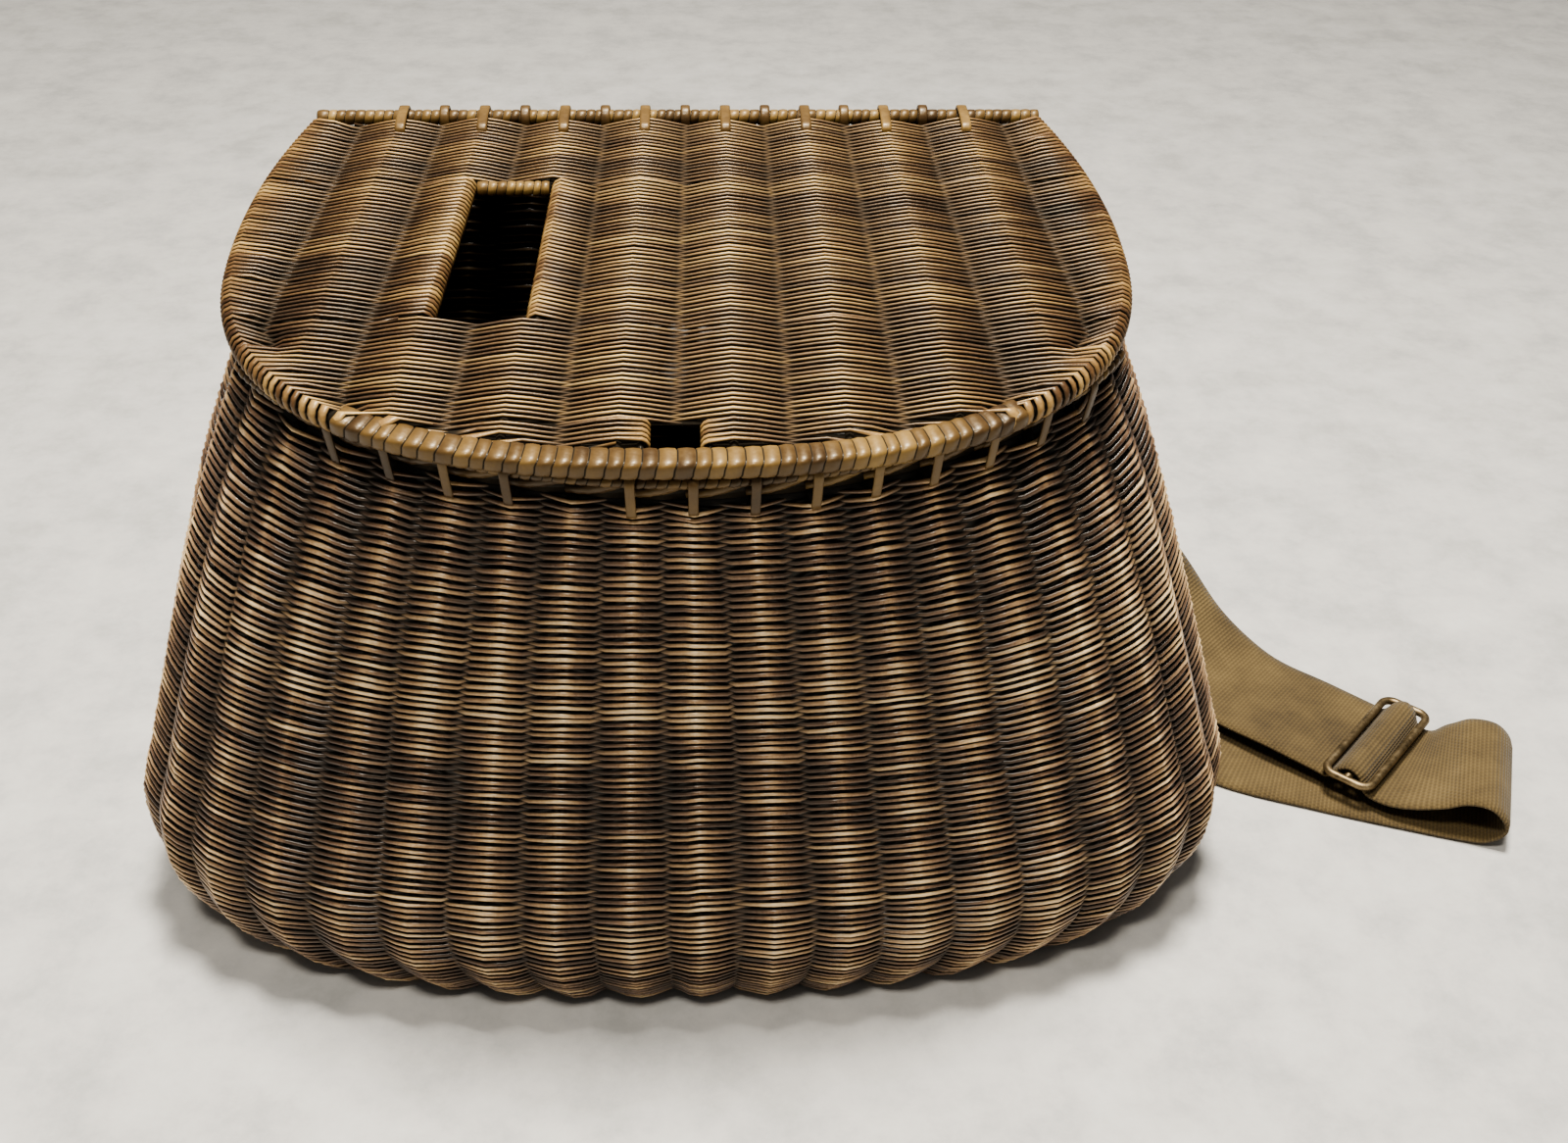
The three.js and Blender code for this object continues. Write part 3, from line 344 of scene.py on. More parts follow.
def noise(tree, scale, detail, roughness):
    """Noise over the object's own coordinates."""
    n = node(tree, "ShaderNodeTexNoise", Scale=scale, Detail=detail, Roughness=roughness)
    coords = node(tree, "ShaderNodeTexCoord")
    tree.links.new(coords.outputs["Object"], n.inputs["Vector"])
    return n.outputs["Fac"]


def ramp(tree, value, stops):
    n = tree.nodes.new("ShaderNodeValToRGB")
    cr = n.color_ramp
    while len(cr.elements) < len(stops):
        cr.elements.new(0.5)
    for el, (pos, col) in zip(cr.elements, stops):
        el.position = pos
        el.color = (*col, 1)
    tree.links.new(value, n.inputs["Fac"])
    return n.outputs["Color"]


def ranged(tree, value, low, high, start=0.0, end=1.0):
    """A value from start to end, as a value from low to high."""
    limits = {"From Min": start, "From Max": end, "To Min": low, "To Max": high}
    n = node(tree, "ShaderNodeMapRange", **limits)
    tree.links.new(value, n.inputs["Value"])
    return n.outputs["Result"]


def math_node(tree, op, *values):
    n = tree.nodes.new("ShaderNodeMath")
    n.operation = op
    for socket, value in zip(n.inputs, values):
        if isinstance(value, (int, float)):
            socket.default_value = value
        else:
            tree.links.new(value, socket)
    return n.outputs[0]


def add_bump(tree, shader, height, strength, distance):
    bump = node(tree, "ShaderNodeBump", Strength=strength, Distance=distance)
    tree.links.new(height, bump.inputs["Height"])
    tree.links.new(bump.outputs["Normal"], shader.inputs["Normal"])


def willow(name, stops, painted_shade_colour, roughness, coat, shine, streak=900.0, painted_shade_range=(0.36, 0.92), blotch=0.55):
    """Varnished willow or cane: tone picks the colour, and where the rise attribute is low (low places,
    edges and hidden sides) the colour goes to a near-black painted shade.
    """
    mat, t, shader = new_material(name)
    tone, rise = (node(t, "ShaderNodeAttribute") for _ in range(2))
    tone.attribute_name, rise.attribute_name = "tone", "rise"
    grain = noise(t, streak, 2.0, 0.7)
    stains = math_node(t, "MULTIPLY_ADD", noise(t, 26.0, 3.0, 0.6), blotch, -blotch / 2)
    streaks = math_node(t, "MULTIPLY_ADD", grain, STREAK_DEPTH, -STREAK_DEPTH / 2)
    pick = math_node(t, "ADD", math_node(t, "ADD", tone.outputs["Fac"], stains), streaks)
    # Painted shade: the share of the picked colour, which falls to the near-black shade colour where rise is
    # low.
    low = ranged(t, rise.outputs["Fac"], 0.0, 1.0, *painted_shade_range)
    low.node.interpolation_type = "SMOOTHSTEP"
    mix = t.nodes.new("ShaderNodeMix")
    mix.data_type = "RGBA"
    mix.inputs["A"].default_value = (*painted_shade_colour, 1)
    t.links.new(low, mix.inputs["Factor"])
    t.links.new(ramp(t, pick, stops), mix.inputs["B"])
    t.links.new(mix.outputs["Result"], shader.inputs["Base Color"])
    rough = ranged(t, grain, roughness - 0.09, roughness + 0.14)
    dull = ranged(t, low, 0.55, 0.0)
    t.links.new(math_node(t, "ADD", rough, dull), shader.inputs["Roughness"])
    add_bump(t, shader, grain, 0.35, 0.0003)
    shader.inputs["Specular Tint"].default_value = (*shine, 1)
    shader.inputs["Coat Weight"].default_value = coat
    shader.inputs["Coat Roughness"].default_value = 0.2
    return mat


def webbing_material():
    mat, t, shader = new_material("webbing")
    uv = t.nodes.new("ShaderNodeUVMap")
    uv.uv_map = "weave"
    split = t.nodes.new("ShaderNodeSeparateXYZ")
    t.links.new(uv.outputs["UV"], split.inputs[0])
    across, along = split.outputs["X"], split.outputs["Y"]
    rib = math_node(t, "SINE", math_node(t, "MULTIPLY", along, 2 * pi / RIB_PITCH))
    row = math_node(t, "ROUND", math_node(t, "MULTIPLY", along, 1 / RIB_PITCH))
    turn = math_node(t, "MULTIPLY", across, 2 * pi / YARN_PITCH)
    shift = math_node(t, "MULTIPLY", row, pi)
    yarn = math_node(t, "SINE", math_node(t, "ADD", turn, shift))
    weave = math_node(t, "MULTIPLY_ADD", yarn, 0.5, rib)
    pick = math_node(t, "MULTIPLY_ADD", weave, 0.09, noise(t, 32.0, 4.0, 0.65))
    stops = [(0.2, (0.036, 0.023, 0.008)), (0.5, (0.091, 0.061, 0.022)), (0.85, (0.164, 0.114, 0.044))]
    t.links.new(ramp(t, pick, stops), shader.inputs["Base Color"])
    height = math_node(t, "MULTIPLY_ADD", noise(t, 2600.0, 2.0, 0.7), 0.8, weave)
    add_bump(t, shader, height, 0.5, 0.0003)
    shader.inputs["Roughness"].default_value = 0.88
    shader.inputs["Sheen Weight"].default_value = 0.08
    return mat


def wire_material():
    mat, t, shader = new_material("wire")
    age = noise(t, 180.0, 4.0, 0.7)
    stops = [(0.3, (0.09, 0.065, 0.035)), (0.55, (0.23, 0.17, 0.095)), (0.8, (0.38, 0.31, 0.2))]
    t.links.new(ramp(t, age, stops), shader.inputs["Base Color"])
    t.links.new(ranged(t, age, 0.3, 0.62), shader.inputs["Roughness"])
    add_bump(t, shader, age, 0.25, 0.0002)
    shader.inputs["Metallic"].default_value = 0.9
    return mat


def floor_material():
    mat, t, shader = new_material("floor")
    stops = [(0.35, (0.42, 0.415, 0.4)), (0.52, (0.52, 0.51, 0.49)), (0.7, (0.59, 0.58, 0.555))]
    t.links.new(ramp(t, noise(t, 26.0, 8.0, 0.72), stops), shader.inputs["Base Color"])
    shader.inputs["Roughness"].default_value = 0.75
    return mat


BODY_WILLOW = willow("body_willow", [
    (0.05, (0.024, 0.012, 0.009)), (0.3, (0.088, 0.048, 0.029)), (0.5, (0.21, 0.124, 0.072)),
    (0.68, (0.45, 0.285, 0.145)), (0.92, (0.82, 0.6, 0.335)),
], (0.003, 0.002, 0.0015), roughness=0.25, coat=0.36, shine=(1, 0.92, 0.78))
LID_WILLOW = willow("lid_willow", [
    (0.05, (0.018, 0.009, 0.006)), (0.3, (0.056, 0.028, 0.015)), (0.5, (0.135, 0.074, 0.033)),
    (0.7, (0.28, 0.17, 0.065)), (0.95, (0.5, 0.34, 0.135)),
], (0.003, 0.002, 0.0015), roughness=0.34, coat=0.08, shine=(1, 0.84, 0.6))
CANE = willow("cane", [
    (0.05, (0.018, 0.009, 0.005)), (0.3, (0.055, 0.03, 0.012)), (0.55, (0.13, 0.078, 0.027)),
    (0.75, (0.23, 0.147, 0.05)), (0.95, (0.36, 0.245, 0.09)),
], (0.004, 0.0025, 0.0015), roughness=0.4, coat=0.12, shine=(1, 0.84, 0.6), streak=420.0, painted_shade_range=(0.1, 0.75),
    blotch=1.25)
WEBBING = webbing_material()
WIRE = wire_material()

# Basket wall
ROUNDS = 174
SAMPLES = 5
STRAND = 0.74
WALL_SWING = RIDGE_HALF - STRAND
STRAND_SHARE = 0.61
PEAK_LOW, PEAK_HIGH = 0.7, 1.9
INSIDE_PAINTED_SHADE = 0.68
MEAN_HEIGHT = 190.0
STAKE_HALF_OUT, STAKE_HALF_ALONG = 1.8, 1.9
CORE_HALF = 0.2
FLOOR_GAP = 0.05
# Tone of the near-black sheets painted as shade, and the low rise that paints hidden stakes and rods dark as
# shade.
DARK, HIDDEN_PAINTED_SHADE = 0.2, 0.05


def round_heights():
    """Height share at each round, so that the rounds are evenly spaced along the wall's profile."""
    h = np.linspace(0, 1, 2001)
    sec = hermite_rows(h, SECTIONS)
    reach = 0.45 * sec[:, 0] * HALF_LENGTH + 0.55 * sec[:, 1] * FRONT_REACH
    steps = np.hypot(np.diff(h) * MEAN_HEIGHT, np.diff(reach))
    s = np.concatenate([[0], np.cumsum(steps)])
    return s / s[-1], h


ROUND_SHARE, ROUND_HEIGHT = round_heights()


def swing_at(place, sharp=0.62):
    """From 1 over an even stake or rib to -1 over an odd one, pointed at both where sharp is 1."""
    triangle = 2 / pi * np.arcsin(np.cos(pi * place))
    return sharp * triangle + (1 - sharp) * np.cos(pi * place)


def strand_faces(swing, sides=6):
    """1 on the side of a strand that faces away from the sheet's middle, 0 on the hidden sides; the low
    values are painted as shade.
    """
    cosine = np.cos(2 * pi * np.arange(sides) / sides)[None, :]
    swing = np.clip(swing, -1, 1)[:, None]
    faces = swing * cosine + 0.55 * (1 - np.abs(swing)) * np.abs(cosine)
    return np.where(faces > 0, 0.35 + 0.65 * faces, 0.35 + 0.35 * faces)


def wall_weave():
    total = ROUNDS * STAKE_COUNT * SAMPLES
    u = np.arange(total + 1) / SAMPLES
    turns = u / STAKE_COUNT
    sway = 0.5 * np.sin(2 * pi * (2 * turns + 0.13)) + 0.35 * np.sin(2 * pi * 5 * turns + 1.7)

    def height(rounds):
        share = (0.8 + rounds) / (ROUNDS + 1.6)
        return np.interp(share, ROUND_SHARE, ROUND_HEIGHT)

    # Neighbouring rounds share this slow rise and fall, and the small one is each round's own.
    drift = 0.6 * smooth_noise(u % STAKE_COUNT + 0.6 * np.floor(turns / 13), 3, 3.1)
    own = 0.2 * smooth_noise(u, 4, 1.3) + 0.14 * smooth_noise(u, 13, 0.6)
    fade = smoothstep(turns, 0, 5) * smoothstep(ROUNDS - turns, 0, 4)
    t = turns + (drift + own + 0.3 * sway) * fade
    lean = 0.05 * smooth_noise(u % STAKE_COUNT * 7 + turns / 31, 5) * fade
    here, above = wall_middle(u + lean, height(t)), wall_middle(u + lean, height(t + 1))
    rise_by = np.linalg.norm(above - here, axis=1)
    up = unit(above - here)
    out = wall_outward(u + lean, height(t))
    side = square_to(out, up)
    swing = swing_at(u, 0.12 + 0.5 * smoothstep(turns / ROUNDS, 0.05, 0.3))
    off = WALL_SWING * swing * (1 + 0.07 * smooth_noise(u, 6, 1.7))
    full = np.abs(swing)
    peak = PEAK_LOW + (PEAK_HIGH - PEAK_LOW) * smoothstep(turns / ROUNDS, 0.05, 0.5)
    peak = peak * smoothstep(turns, 1, 14) * smoothstep(ROUNDS - turns, 1, 9)
    thick = 1 + 0.2 * smooth_noise(u, 7, 1.4) + 0.12 * smooth_noise(u, 14, 9.0)
    half_up = rise_by * STRAND_SHARE * thick * (0.92 + 0.08 * full)
    half_side = STRAND * (0.85 + 0.15 * full) * (1 + 0.08 * smooth_noise(u, 8, 4.0))
    centre = here + side * off[:, None] + up * (peak * full**1.2)[:, None]
    weaver = np.floor(u / 47 + 0.3 * smooth_noise(u, 9, 60.0))
    # Brighter over the crests, where the strands stand out: partly wear, partly painted highlight.
    tone = (0.47 + 0.16 * smooth_noise(weaver * 3.7, 10) + 0.17 * smooth_noise(u, 11, 1.1)
            + 0.12 * smooth_noise(turns, 12, 9.0) + 0.3 * (full**3 - 0.38)
            + 0.09 * smoothstep(turns / ROUNDS, 0.25, 0.75))
    faces = strand_faces(off / WALL_SWING)
    # Painted shade on the strands' inner sides, which face into the basket.
    faces[:, 2:5] *= INSIDE_PAINTED_SHADE
    return centre, side, up, half_side, half_up, tone, faces


def add_core(b):
    """A thin sheet in the wall's middle, painted near-black as shade, so that no light passes between the
    strands.
    """
    heights = np.linspace(0.008, 1, 70)
    stakes = np.arange(0, STAKE_COUNT, 0.2)
    rings = []
    for half, order in ((CORE_HALF, heights), (-CORE_HALF, heights[::-1])):
        for h in order:
            level = np.full(len(stakes), h)
            rings.append(wall_middle(stakes, level) + wall_outward(stakes, level) * half)
    rings = np.array(rings).transpose(1, 0, 2)
    b.rings(rings, DARK, np.zeros(rings.shape[:2]), closed=True)


def add_wall():
    centre, side, up, half_side, half_up, tone, rise = wall_weave()
    per_round = STAKE_COUNT * SAMPLES
    cuts = [0, ROUNDS // 3 * per_round, 2 * (ROUNDS // 3) * per_round, len(centre) - 1]
    for k, name in enumerate(("wall_lower", "wall_middle", "wall_upper")):
        part = slice(cuts[k], cuts[k + 1] + 1)
        b = Builder()
        b.tube(centre[part], side[part], up[part], half_side[part], half_up[part], tone[part], rise[part])
        b.object(name, BODY_WILLOW, "body", ["basket"], lowest=FLOOR_GAP)
    add_stakes()


def add_stakes():
    b = Builder()
    heights = np.linspace(0.004, 1, 26)
    for i in range(STAKE_COUNT):
        stake = np.full(len(heights), float(i))
        line = wall_middle(stake, heights)
        out = wall_outward(stake, heights)
        up = unit(np.gradient(line, axis=0))
        side = square_to(out, up)
        # The stakes are painted nearly black, as shade behind the weavers.
        b.tube(line, side, np.cross(up, side), STAKE_HALF_OUT, STAKE_HALF_ALONG, 0.3, HIDDEN_PAINTED_SHADE)
    add_core(b)
    b.object("stakes", BODY_WILLOW, "body", lowest=FLOOR_GAP)


# Base
BASE_MIDDLE = 2.6
BASE_ROW = 1.15
BASE_SWING = 1.5
BASE_STRAND = 0.9
BASE_FRONT_INSET, BASE_BACK_INSET = 2.2, 1.5
BASE_STICK_PITCH = 17.0
BASE_STICK_HALVES = (0.85, 2.2)


def add_base():
    ring = wall_middle(np.arange(0, STAKE_COUNT, 0.05), np.full(STAKE_COUNT * 20, 0.012))
    left = ring[ring[:, 0] < 0]
    left = left[np.argsort(left[:, 1])]
    b = Builder()
    rows = np.arange(ring[:, 1].min() + BASE_FRONT_INSET, ring[:, 1].max() - BASE_BACK_INSET, BASE_ROW)
    for k, y in enumerate(rows):
        reach = -np.interp(y, left[:, 1], left[:, 0]) - 1.0
        x = np.linspace(-reach, reach, max(8, int(2 * reach / BASE_STICK_PITCH * 4)))
        r = x / BASE_STICK_PITCH
        swing = np.cos(pi * (r + k))
        seed = 200 + k
        line = np.stack([x, y + 0.12 * smooth_noise(x, seed, 9.0), BASE_MIDDLE + BASE_SWING * swing], -1)
        side, up = (np.tile(axis, (len(x), 1)) for axis in ([0.0, 0, 1], [0.0, 1, 0]))
        full = np.abs(swing) ** 0.75
        tone = 0.5 + 0.2 * one_noise(k * 1.7, 31) + 0.1 * smooth_noise(x, seed + 300, 12.0)
        # Painted shade: the strands are darker midway between the sticks, where they dip.
        rise = (0.35 + 0.65 * full)[:, None]
        b.tube(line, side, up, BASE_STRAND, BASE_ROW * (0.58 + 0.44 * full), tone, rise)
    sticks = np.arange(-8, 9) * BASE_STICK_PITCH
    for x in sticks:
        inside = ring[np.abs(ring[:, 0] - x) < 4]
        y = np.linspace(inside[:, 1].min() + 2, inside[:, 1].max() - 2, 12)
        line = np.stack([np.full_like(y, x), y, np.full_like(y, BASE_MIDDLE)], -1)
        side, up = (np.tile(axis, (len(y), 1)) for axis in ([0.0, 0, 1], [1.0, 0, 0]))
        # The sticks' rise of 0.5 paints them partly in shade.
        b.tube(line, side, up, *BASE_STICK_HALVES, 0.4, 0.5)
    b.object("base_weave", BODY_WILLOW, "body", lowest=FLOOR_GAP)


# Wrapped rods and strips
TIE_THICKNESS = 0.9
CANE_TURN = 2.9


def along_path(path, s):
    """Points of a polyline at arc lengths s, of any shape."""
    lengths = arc_lengths(path)
    return np.stack([np.interp(s, lengths, path[:, i]) for i in range(3)], -1)


def resample(path, step):
    lengths = arc_lengths(path)
    n = max(int(lengths[-1] / step), 2)
    return along_path(path, np.linspace(0, lengths[-1], n + 1))


def wrapped(b, path, up_hint, half_side, half_up, pitch, seed, power=1.0, sides=14, lean=0.5,
            groove=0.3, tone=0.5, spread=0.2):
    """A rod bound with flat cane, each turn a slightly raised band that leans, with a groove between."""
    rng = np.random.default_rng(SEED + seed)
    path = resample(path, 0.8)
    lengths = arc_lengths(path)
    turns = max(int(lengths[-1] / pitch), 2)
    widths = rng.uniform(0.82, 1.18, turns)
    edges = np.concatenate([[0], np.cumsum(widths)]) / widths.sum() * lengths[-1]
    rows = []
    for j in range(turns):
        w = edges[j + 1] - edges[j]
        t = tone + spread * rng.uniform(-1, 1)
        bulge = rng.uniform(-0.06, 0.1)
        # The rise paints the groove and the band's edges darker, as shade.
        turn = [(0.0, -groove, 0.0), (0.09, -0.02, 0.75), (0.5, 0.1 + bulge, 1.0), (0.91, 0.0, 0.75)]
        rows += [(edges[j] + share * w, lift, t, rise) for share, lift, rise in turn]
    rows.append((lengths[-1], -groove, t, 0.0))
    places, lifts, tones, rises = np.array(rows).T
    phi = 2 * pi * (np.arange(sides) + 0.5) / sides
    c, s = section(phi, power)
    ends = np.minimum(places, lengths[-1] - places)
    tilt = lean * np.clip(ends / 4, 0, 1)[:, None] * np.sin(phi)[None, :]
    at = np.clip(places[:, None] + tilt, 0, lengths[-1])
    centre = along_path(path, at)
    ahead, behind = (along_path(path, np.clip(at + step, 0, lengths[-1])) for step in (1, -1))
    forward = unit(ahead - behind)
    hint = np.broadcast_to(np.asarray(up_hint, float), centre.shape)
    up = square_to(hint, forward)
    side = np.cross(forward, up)
    p = (centre + side * ((half_side + lifts)[:, None] * c)[..., None]
         + up * ((half_up + lifts)[:, None] * s)[..., None])
    b.rings(p, tones, rises[:, None])


def strip(b, path, width_dir, width, tone, step=1.0):
    """A flat strip of cane: its width lies along width_dir."""
    path = resample(path, step)
    forward = unit(np.gradient(path, axis=0))
    w = np.broadcast_to(np.asarray(width_dir, float), path.shape)
    w = square_to(w, forward)
    side = np.cross(w, forward)
    b.tube(path, side, w, TIE_THICKNESS / 2, width / 2, tone, sides=10, power=0.55, phase=pi / 10)


# Rim border, rim rod and ties
CLEARANCE = 0.3
BORDER_BASE = CLEARANCE
BORDER_HALF_HEIGHT = 4.9
BORDER_HALF_WIDTH = 3.7
ROLL_OUT, ROLL_UP = 1.85, 3.0
ROLLED_STAKE = 1.85
BORDER_CORE = (1.1, 3.9)
BORDER_CORE_RISE = 3.3
RIM_ROD_RADIUS = 1.6
RIM_ROD_OUT = BORDER_HALF_WIDTH + CLEARANCE + RIM_ROD_RADIUS
RIM_ROD_RISE = 8.2
BORDER_TIE_WIDTH = 2.7
BORDER_TIE_LIFT = 0.75
BORDER_TIE_TURN = (62, 45, 25, 5, -12)
BORDER_TIE_FOOT = 10.5
TIED_STAKES = [-6, -5, -4, -3, -1, 0, 1, 2, 3, 4, 5, 6, 7]
UP = np.array([0.0, 0, 1])


def rim_line(stake, out, up):
    height = np.ones_like(stake)
    return wall_middle(stake, height) + wall_outward(stake, height) * out + UP * up


def add_border():
    """Each stake bends over, winds once round the roll and tucks in three stakes further on."""
    b = Builder()
    t = np.linspace(0, 1, 17)
    shade = np.tile(0.55 + 0.45 * np.cos(2 * pi * np.arange(8) / 8), (len(t), 1))
    for i in range(STAKE_COUNT):
        stake = i - 0.1 + 3.15 * t
        turn = -pi / 2 + 2 * pi * t
        wobble = 0.12 * one_noise(i * 1.3, 41)
        out = (ROLL_OUT + wobble) * np.cos(turn)
        rise = BORDER_BASE + BORDER_HALF_HEIGHT + (ROLL_UP + wobble) * np.sin(turn)
        outward = wall_outward(stake, np.ones_like(stake))
        line = rim_line(stake, out[:, None], rise[:, None])
        radial = unit(outward * np.cos(turn)[:, None] + UP * np.sin(turn)[:, None])
        forward = unit(np.gradient(line, axis=0))
        radial = square_to(radial, forward)
        thick = ROLLED_STAKE * (1 - 0.35 * smoothstep(t, 0.85, 1))
        # A low tone: painted shade under the lid's rim.
        tone = 0.38 + 0.14 * one_noise(i * 2.1, 42)
        b.tube(line, radial, np.cross(radial, forward), thick * 0.9, thick, tone, shade, sides=8)
    add_border_core(b)
    b.object("rolled_border", CANE, "body", ["rim_border"])


def add_border_core(b):
    """The stake ends inside the roll, which close it from the wall's top up; they are painted near-black, as
    shade.
    """
    stake = np.arange(0, STAKE_COUNT, 0.25)
    line = rim_line(stake, 0, BORDER_CORE_RISE)
    out = wall_outward(stake, np.ones(len(stake)))
    b.tube(line, out, np.tile(UP, (len(stake), 1)), *BORDER_CORE, DARK, 0.0, closed=True)


def add_rim_rod():
    b = Builder()
    stake = np.linspace(-8, 8, 90)
    path = rim_line(stake, RIM_ROD_OUT, RIM_ROD_RISE)
    wrapped(b, path, UP, RIM_ROD_RADIUS, RIM_ROD_RADIUS, CANE_TURN, 50, tone=0.4)
    b.object("rim_rod_wrapped", CANE, "body", ["rim_rod"])


def add_border_ties():
    b = Builder()
    for i, stake in enumerate(TIED_STAKES):
        s = np.array([float(stake)])
        out = wall_outward(s, np.ones(1))[0]
        centre = rim_line(s, RIM_ROD_OUT, RIM_ROD_RISE)[0]
        r = RIM_ROD_RADIUS + BORDER_TIE_LIFT
        arc = [centre + r * (out * cos(a) + UP * sin(a)) for a in np.radians(BORDER_TIE_TURN)]
        tip_height = 1 - (BORDER_TIE_FOOT - RIM_ROD_RISE) / FRONT_HEIGHT
        tip = wall_middle(s, np.full(1, tip_height))[0] + out * (RIDGE_HALF + 1.15)
        jitter = np.random.default_rng(SEED + 60 + i)
        tip = tip - UP * jitter.uniform(-0.4, 0.9)
        path = np.array([*arc, (arc[-1] + tip) / 2 + out * 0.1, tip])
        across = np.cross(out, UP) + UP * 0.02
        # A low tone: painted shade under the lid's rim.
        strip(b, path, across, BORDER_TIE_WIDTH, 0.4 + 0.12 * jitter.uniform(-1, 1))
    names = [f"border_tie_{i + 1:02d}" for i in range(len(TIED_STAKES))]
    b.object("border_ties", CANE, "body", names)


# Lid
LID_SIDE_OVERHANG, LID_FRONT_OVERHANG = 2.2, 2.1
LID_HALF = SECTIONS[-1, 1] * HALF_LENGTH + LID_SIDE_OVERHANG
LID_BACK_NARROWING = 15.0
WIDEST = 75.7
LID_REAR = 4.8
LID_DEPTH = (RIM_FRONT + RIM_ROD_OUT + RIM_ROD_RADIUS + LID_FRONT_OVERHANG + HINGE_Y) / cos(RIM_SLOPE)
LID_FRONT_REACH = LID_DEPTH - WIDEST
RIM_END_WIDTH = 0.702
RIM_END_SHARE = 1 + acos(RIM_END_WIDTH ** (FRONT_ROUNDNESS / 2)) / (pi / 2)
WRAP_PAST_RIM = 0.03
RIM_HALF_WIDTH, RIM_HALF_HEIGHT = 4.0, 2.9
RIM_TURN = 4.1
SHEET_INSET = 9.2
SHEET_FRONT = -(LID_DEPTH - SHEET_INSET)
EDGE_RADIUS = 4.0
HOLE_RADIUS = 3.6
NOTCH_RADIUS = 2.6
SHEET_END_RADIUS = 1.2
RIB_COUNT = 8
RIB_RADIUS = 1.3
# The ribs' middle at the back and at the front, and their spread as a share of the lid's width there
RIBS_BACK_MIDDLE, RIBS_BACK_SHARE = 1.3, 0.773
RIBS_FRONT_MIDDLE, RIBS_FRONT_SHARE = -2.0, 0.819
HOLE_RIBS = (1.01, 2.13)
HOLE_BACK, HOLE_FRONT = -38.0, -106.0
NOTCH_MIDDLE, NOTCH_HALF, NOTCH_DEPTH = -1.8, 8.8, 10
NOTCH_X = (NOTCH_MIDDLE - NOTCH_HALF, NOTCH_MIDDLE + NOTCH_HALF)
LID_RIB_HALF = 3.2
LID_ROW = 0.93
LID_SAMPLES = 5
LID_STRAND = 0.62
LID_SWING = LID_RIB_HALF - LID_STRAND
LID_STRAND_SHARE = 0.56
ROW_END_GAP = 0.16
EDGE_FADE = (0.5, 9.0)
TURN_ANGLES = np.radians([80, 48, 16, -16, -48, -80])


def lid_to_frame(p):
    """Lid's own frame to the row frame."""
    c, s = cos(RIM_SLOPE), sin(RIM_SLOPE)
    return np.stack([p[..., 0], HINGE_Y + p[..., 1] * c - p[..., 2] * s,
                     HINGE_Z + p[..., 1] * s + p[..., 2] * c], -1)


def lid_direction(v):
    return lid_to_frame(v) - lid_to_frame(np.zeros((1, 3)))


LID_UP = lid_direction(np.array([[0.0, 0, 1]]))[0]


def rib_x(rib, y):
    side = rib / (RIB_COUNT - 1) - 0.5
    back = RIBS_BACK_MIDDLE + RIBS_BACK_SHARE * 2 * (LID_HALF - LID_BACK_NARROWING) * side
    front = RIBS_FRONT_MIDDLE + RIBS_FRONT_SHARE * 2 * LID_HALF * side
    return back + (front - back) * (-y / LID_DEPTH)


def rib_at(x, y):
    low, high = rib_x(0, y), rib_x(RIB_COUNT - 1, y)
    return (x - low) / (high - low) * (RIB_COUNT - 1)


def lid_edge_raw(share):
    share = np.asarray(share, float)
    angle = np.clip(share - 1, 0, 1) * pi / 2
    front_x = LID_HALF * np.maximum(np.cos(angle), 0) ** (2 / FRONT_ROUNDNESS)
    front_y = -WIDEST - LID_FRONT_REACH * np.sin(angle) ** (2 / FRONT_ROUNDNESS)
    back_x = LID_HALF - LID_BACK_NARROWING * (1 - share) ** 2
    back_y = -share * WIDEST
    return np.stack([np.where(share <= 1, back_x, front_x), np.where(share <= 1, back_y, front_y)], -1)


def lid_edge(share, inset):
    share = np.asarray(share, float)
    along = unit(lid_edge_raw(np.minimum(share + 1e-3, 2)) - lid_edge_raw(share - 1e-3))
    inward = np.stack([along[..., 1], -along[..., 0]], -1)
    return lid_edge_raw(share) + inward * inset, -inward


# Each edge that rows turn back at is a table over y: middle x, outward x and y, radius.
def side_edge(sign):
    share = np.linspace(0.0, 2, 1500)
    rim = share > RIM_END_SHARE + WRAP_PAST_RIM
    rod, rod_out = lid_edge(share, EDGE_RADIUS)
    sheet, sheet_out = lid_edge(share, SHEET_INSET - 0.7)
    place = np.where(rim[:, None], sheet, rod)
    out = np.where(rim[:, None], sheet_out, rod_out)
    radius = np.where(rim, SHEET_END_RADIUS, EDGE_RADIUS)
    keep = np.concatenate([[True], np.diff(np.minimum.accumulate(place[:, 1])) < -1e-6])
    y = place[keep, 1][::-1]
    columns = [sign * place[keep, 0], sign * out[keep, 0], out[keep, 1], radius[keep]]
    table = np.column_stack(columns)[::-1]
    return lambda at: [np.interp(at, y, table[:, i]) for i in range(4)]


def straight_edge(place, sign, radius):
    return lambda at: [place(at), sign, 0.0, radius]


def edge_reach(edge):
    """How far a strand's middle lies from the middle of the edge that it turns round."""
    return max(edge[3] - LID_STRAND, 0.6)


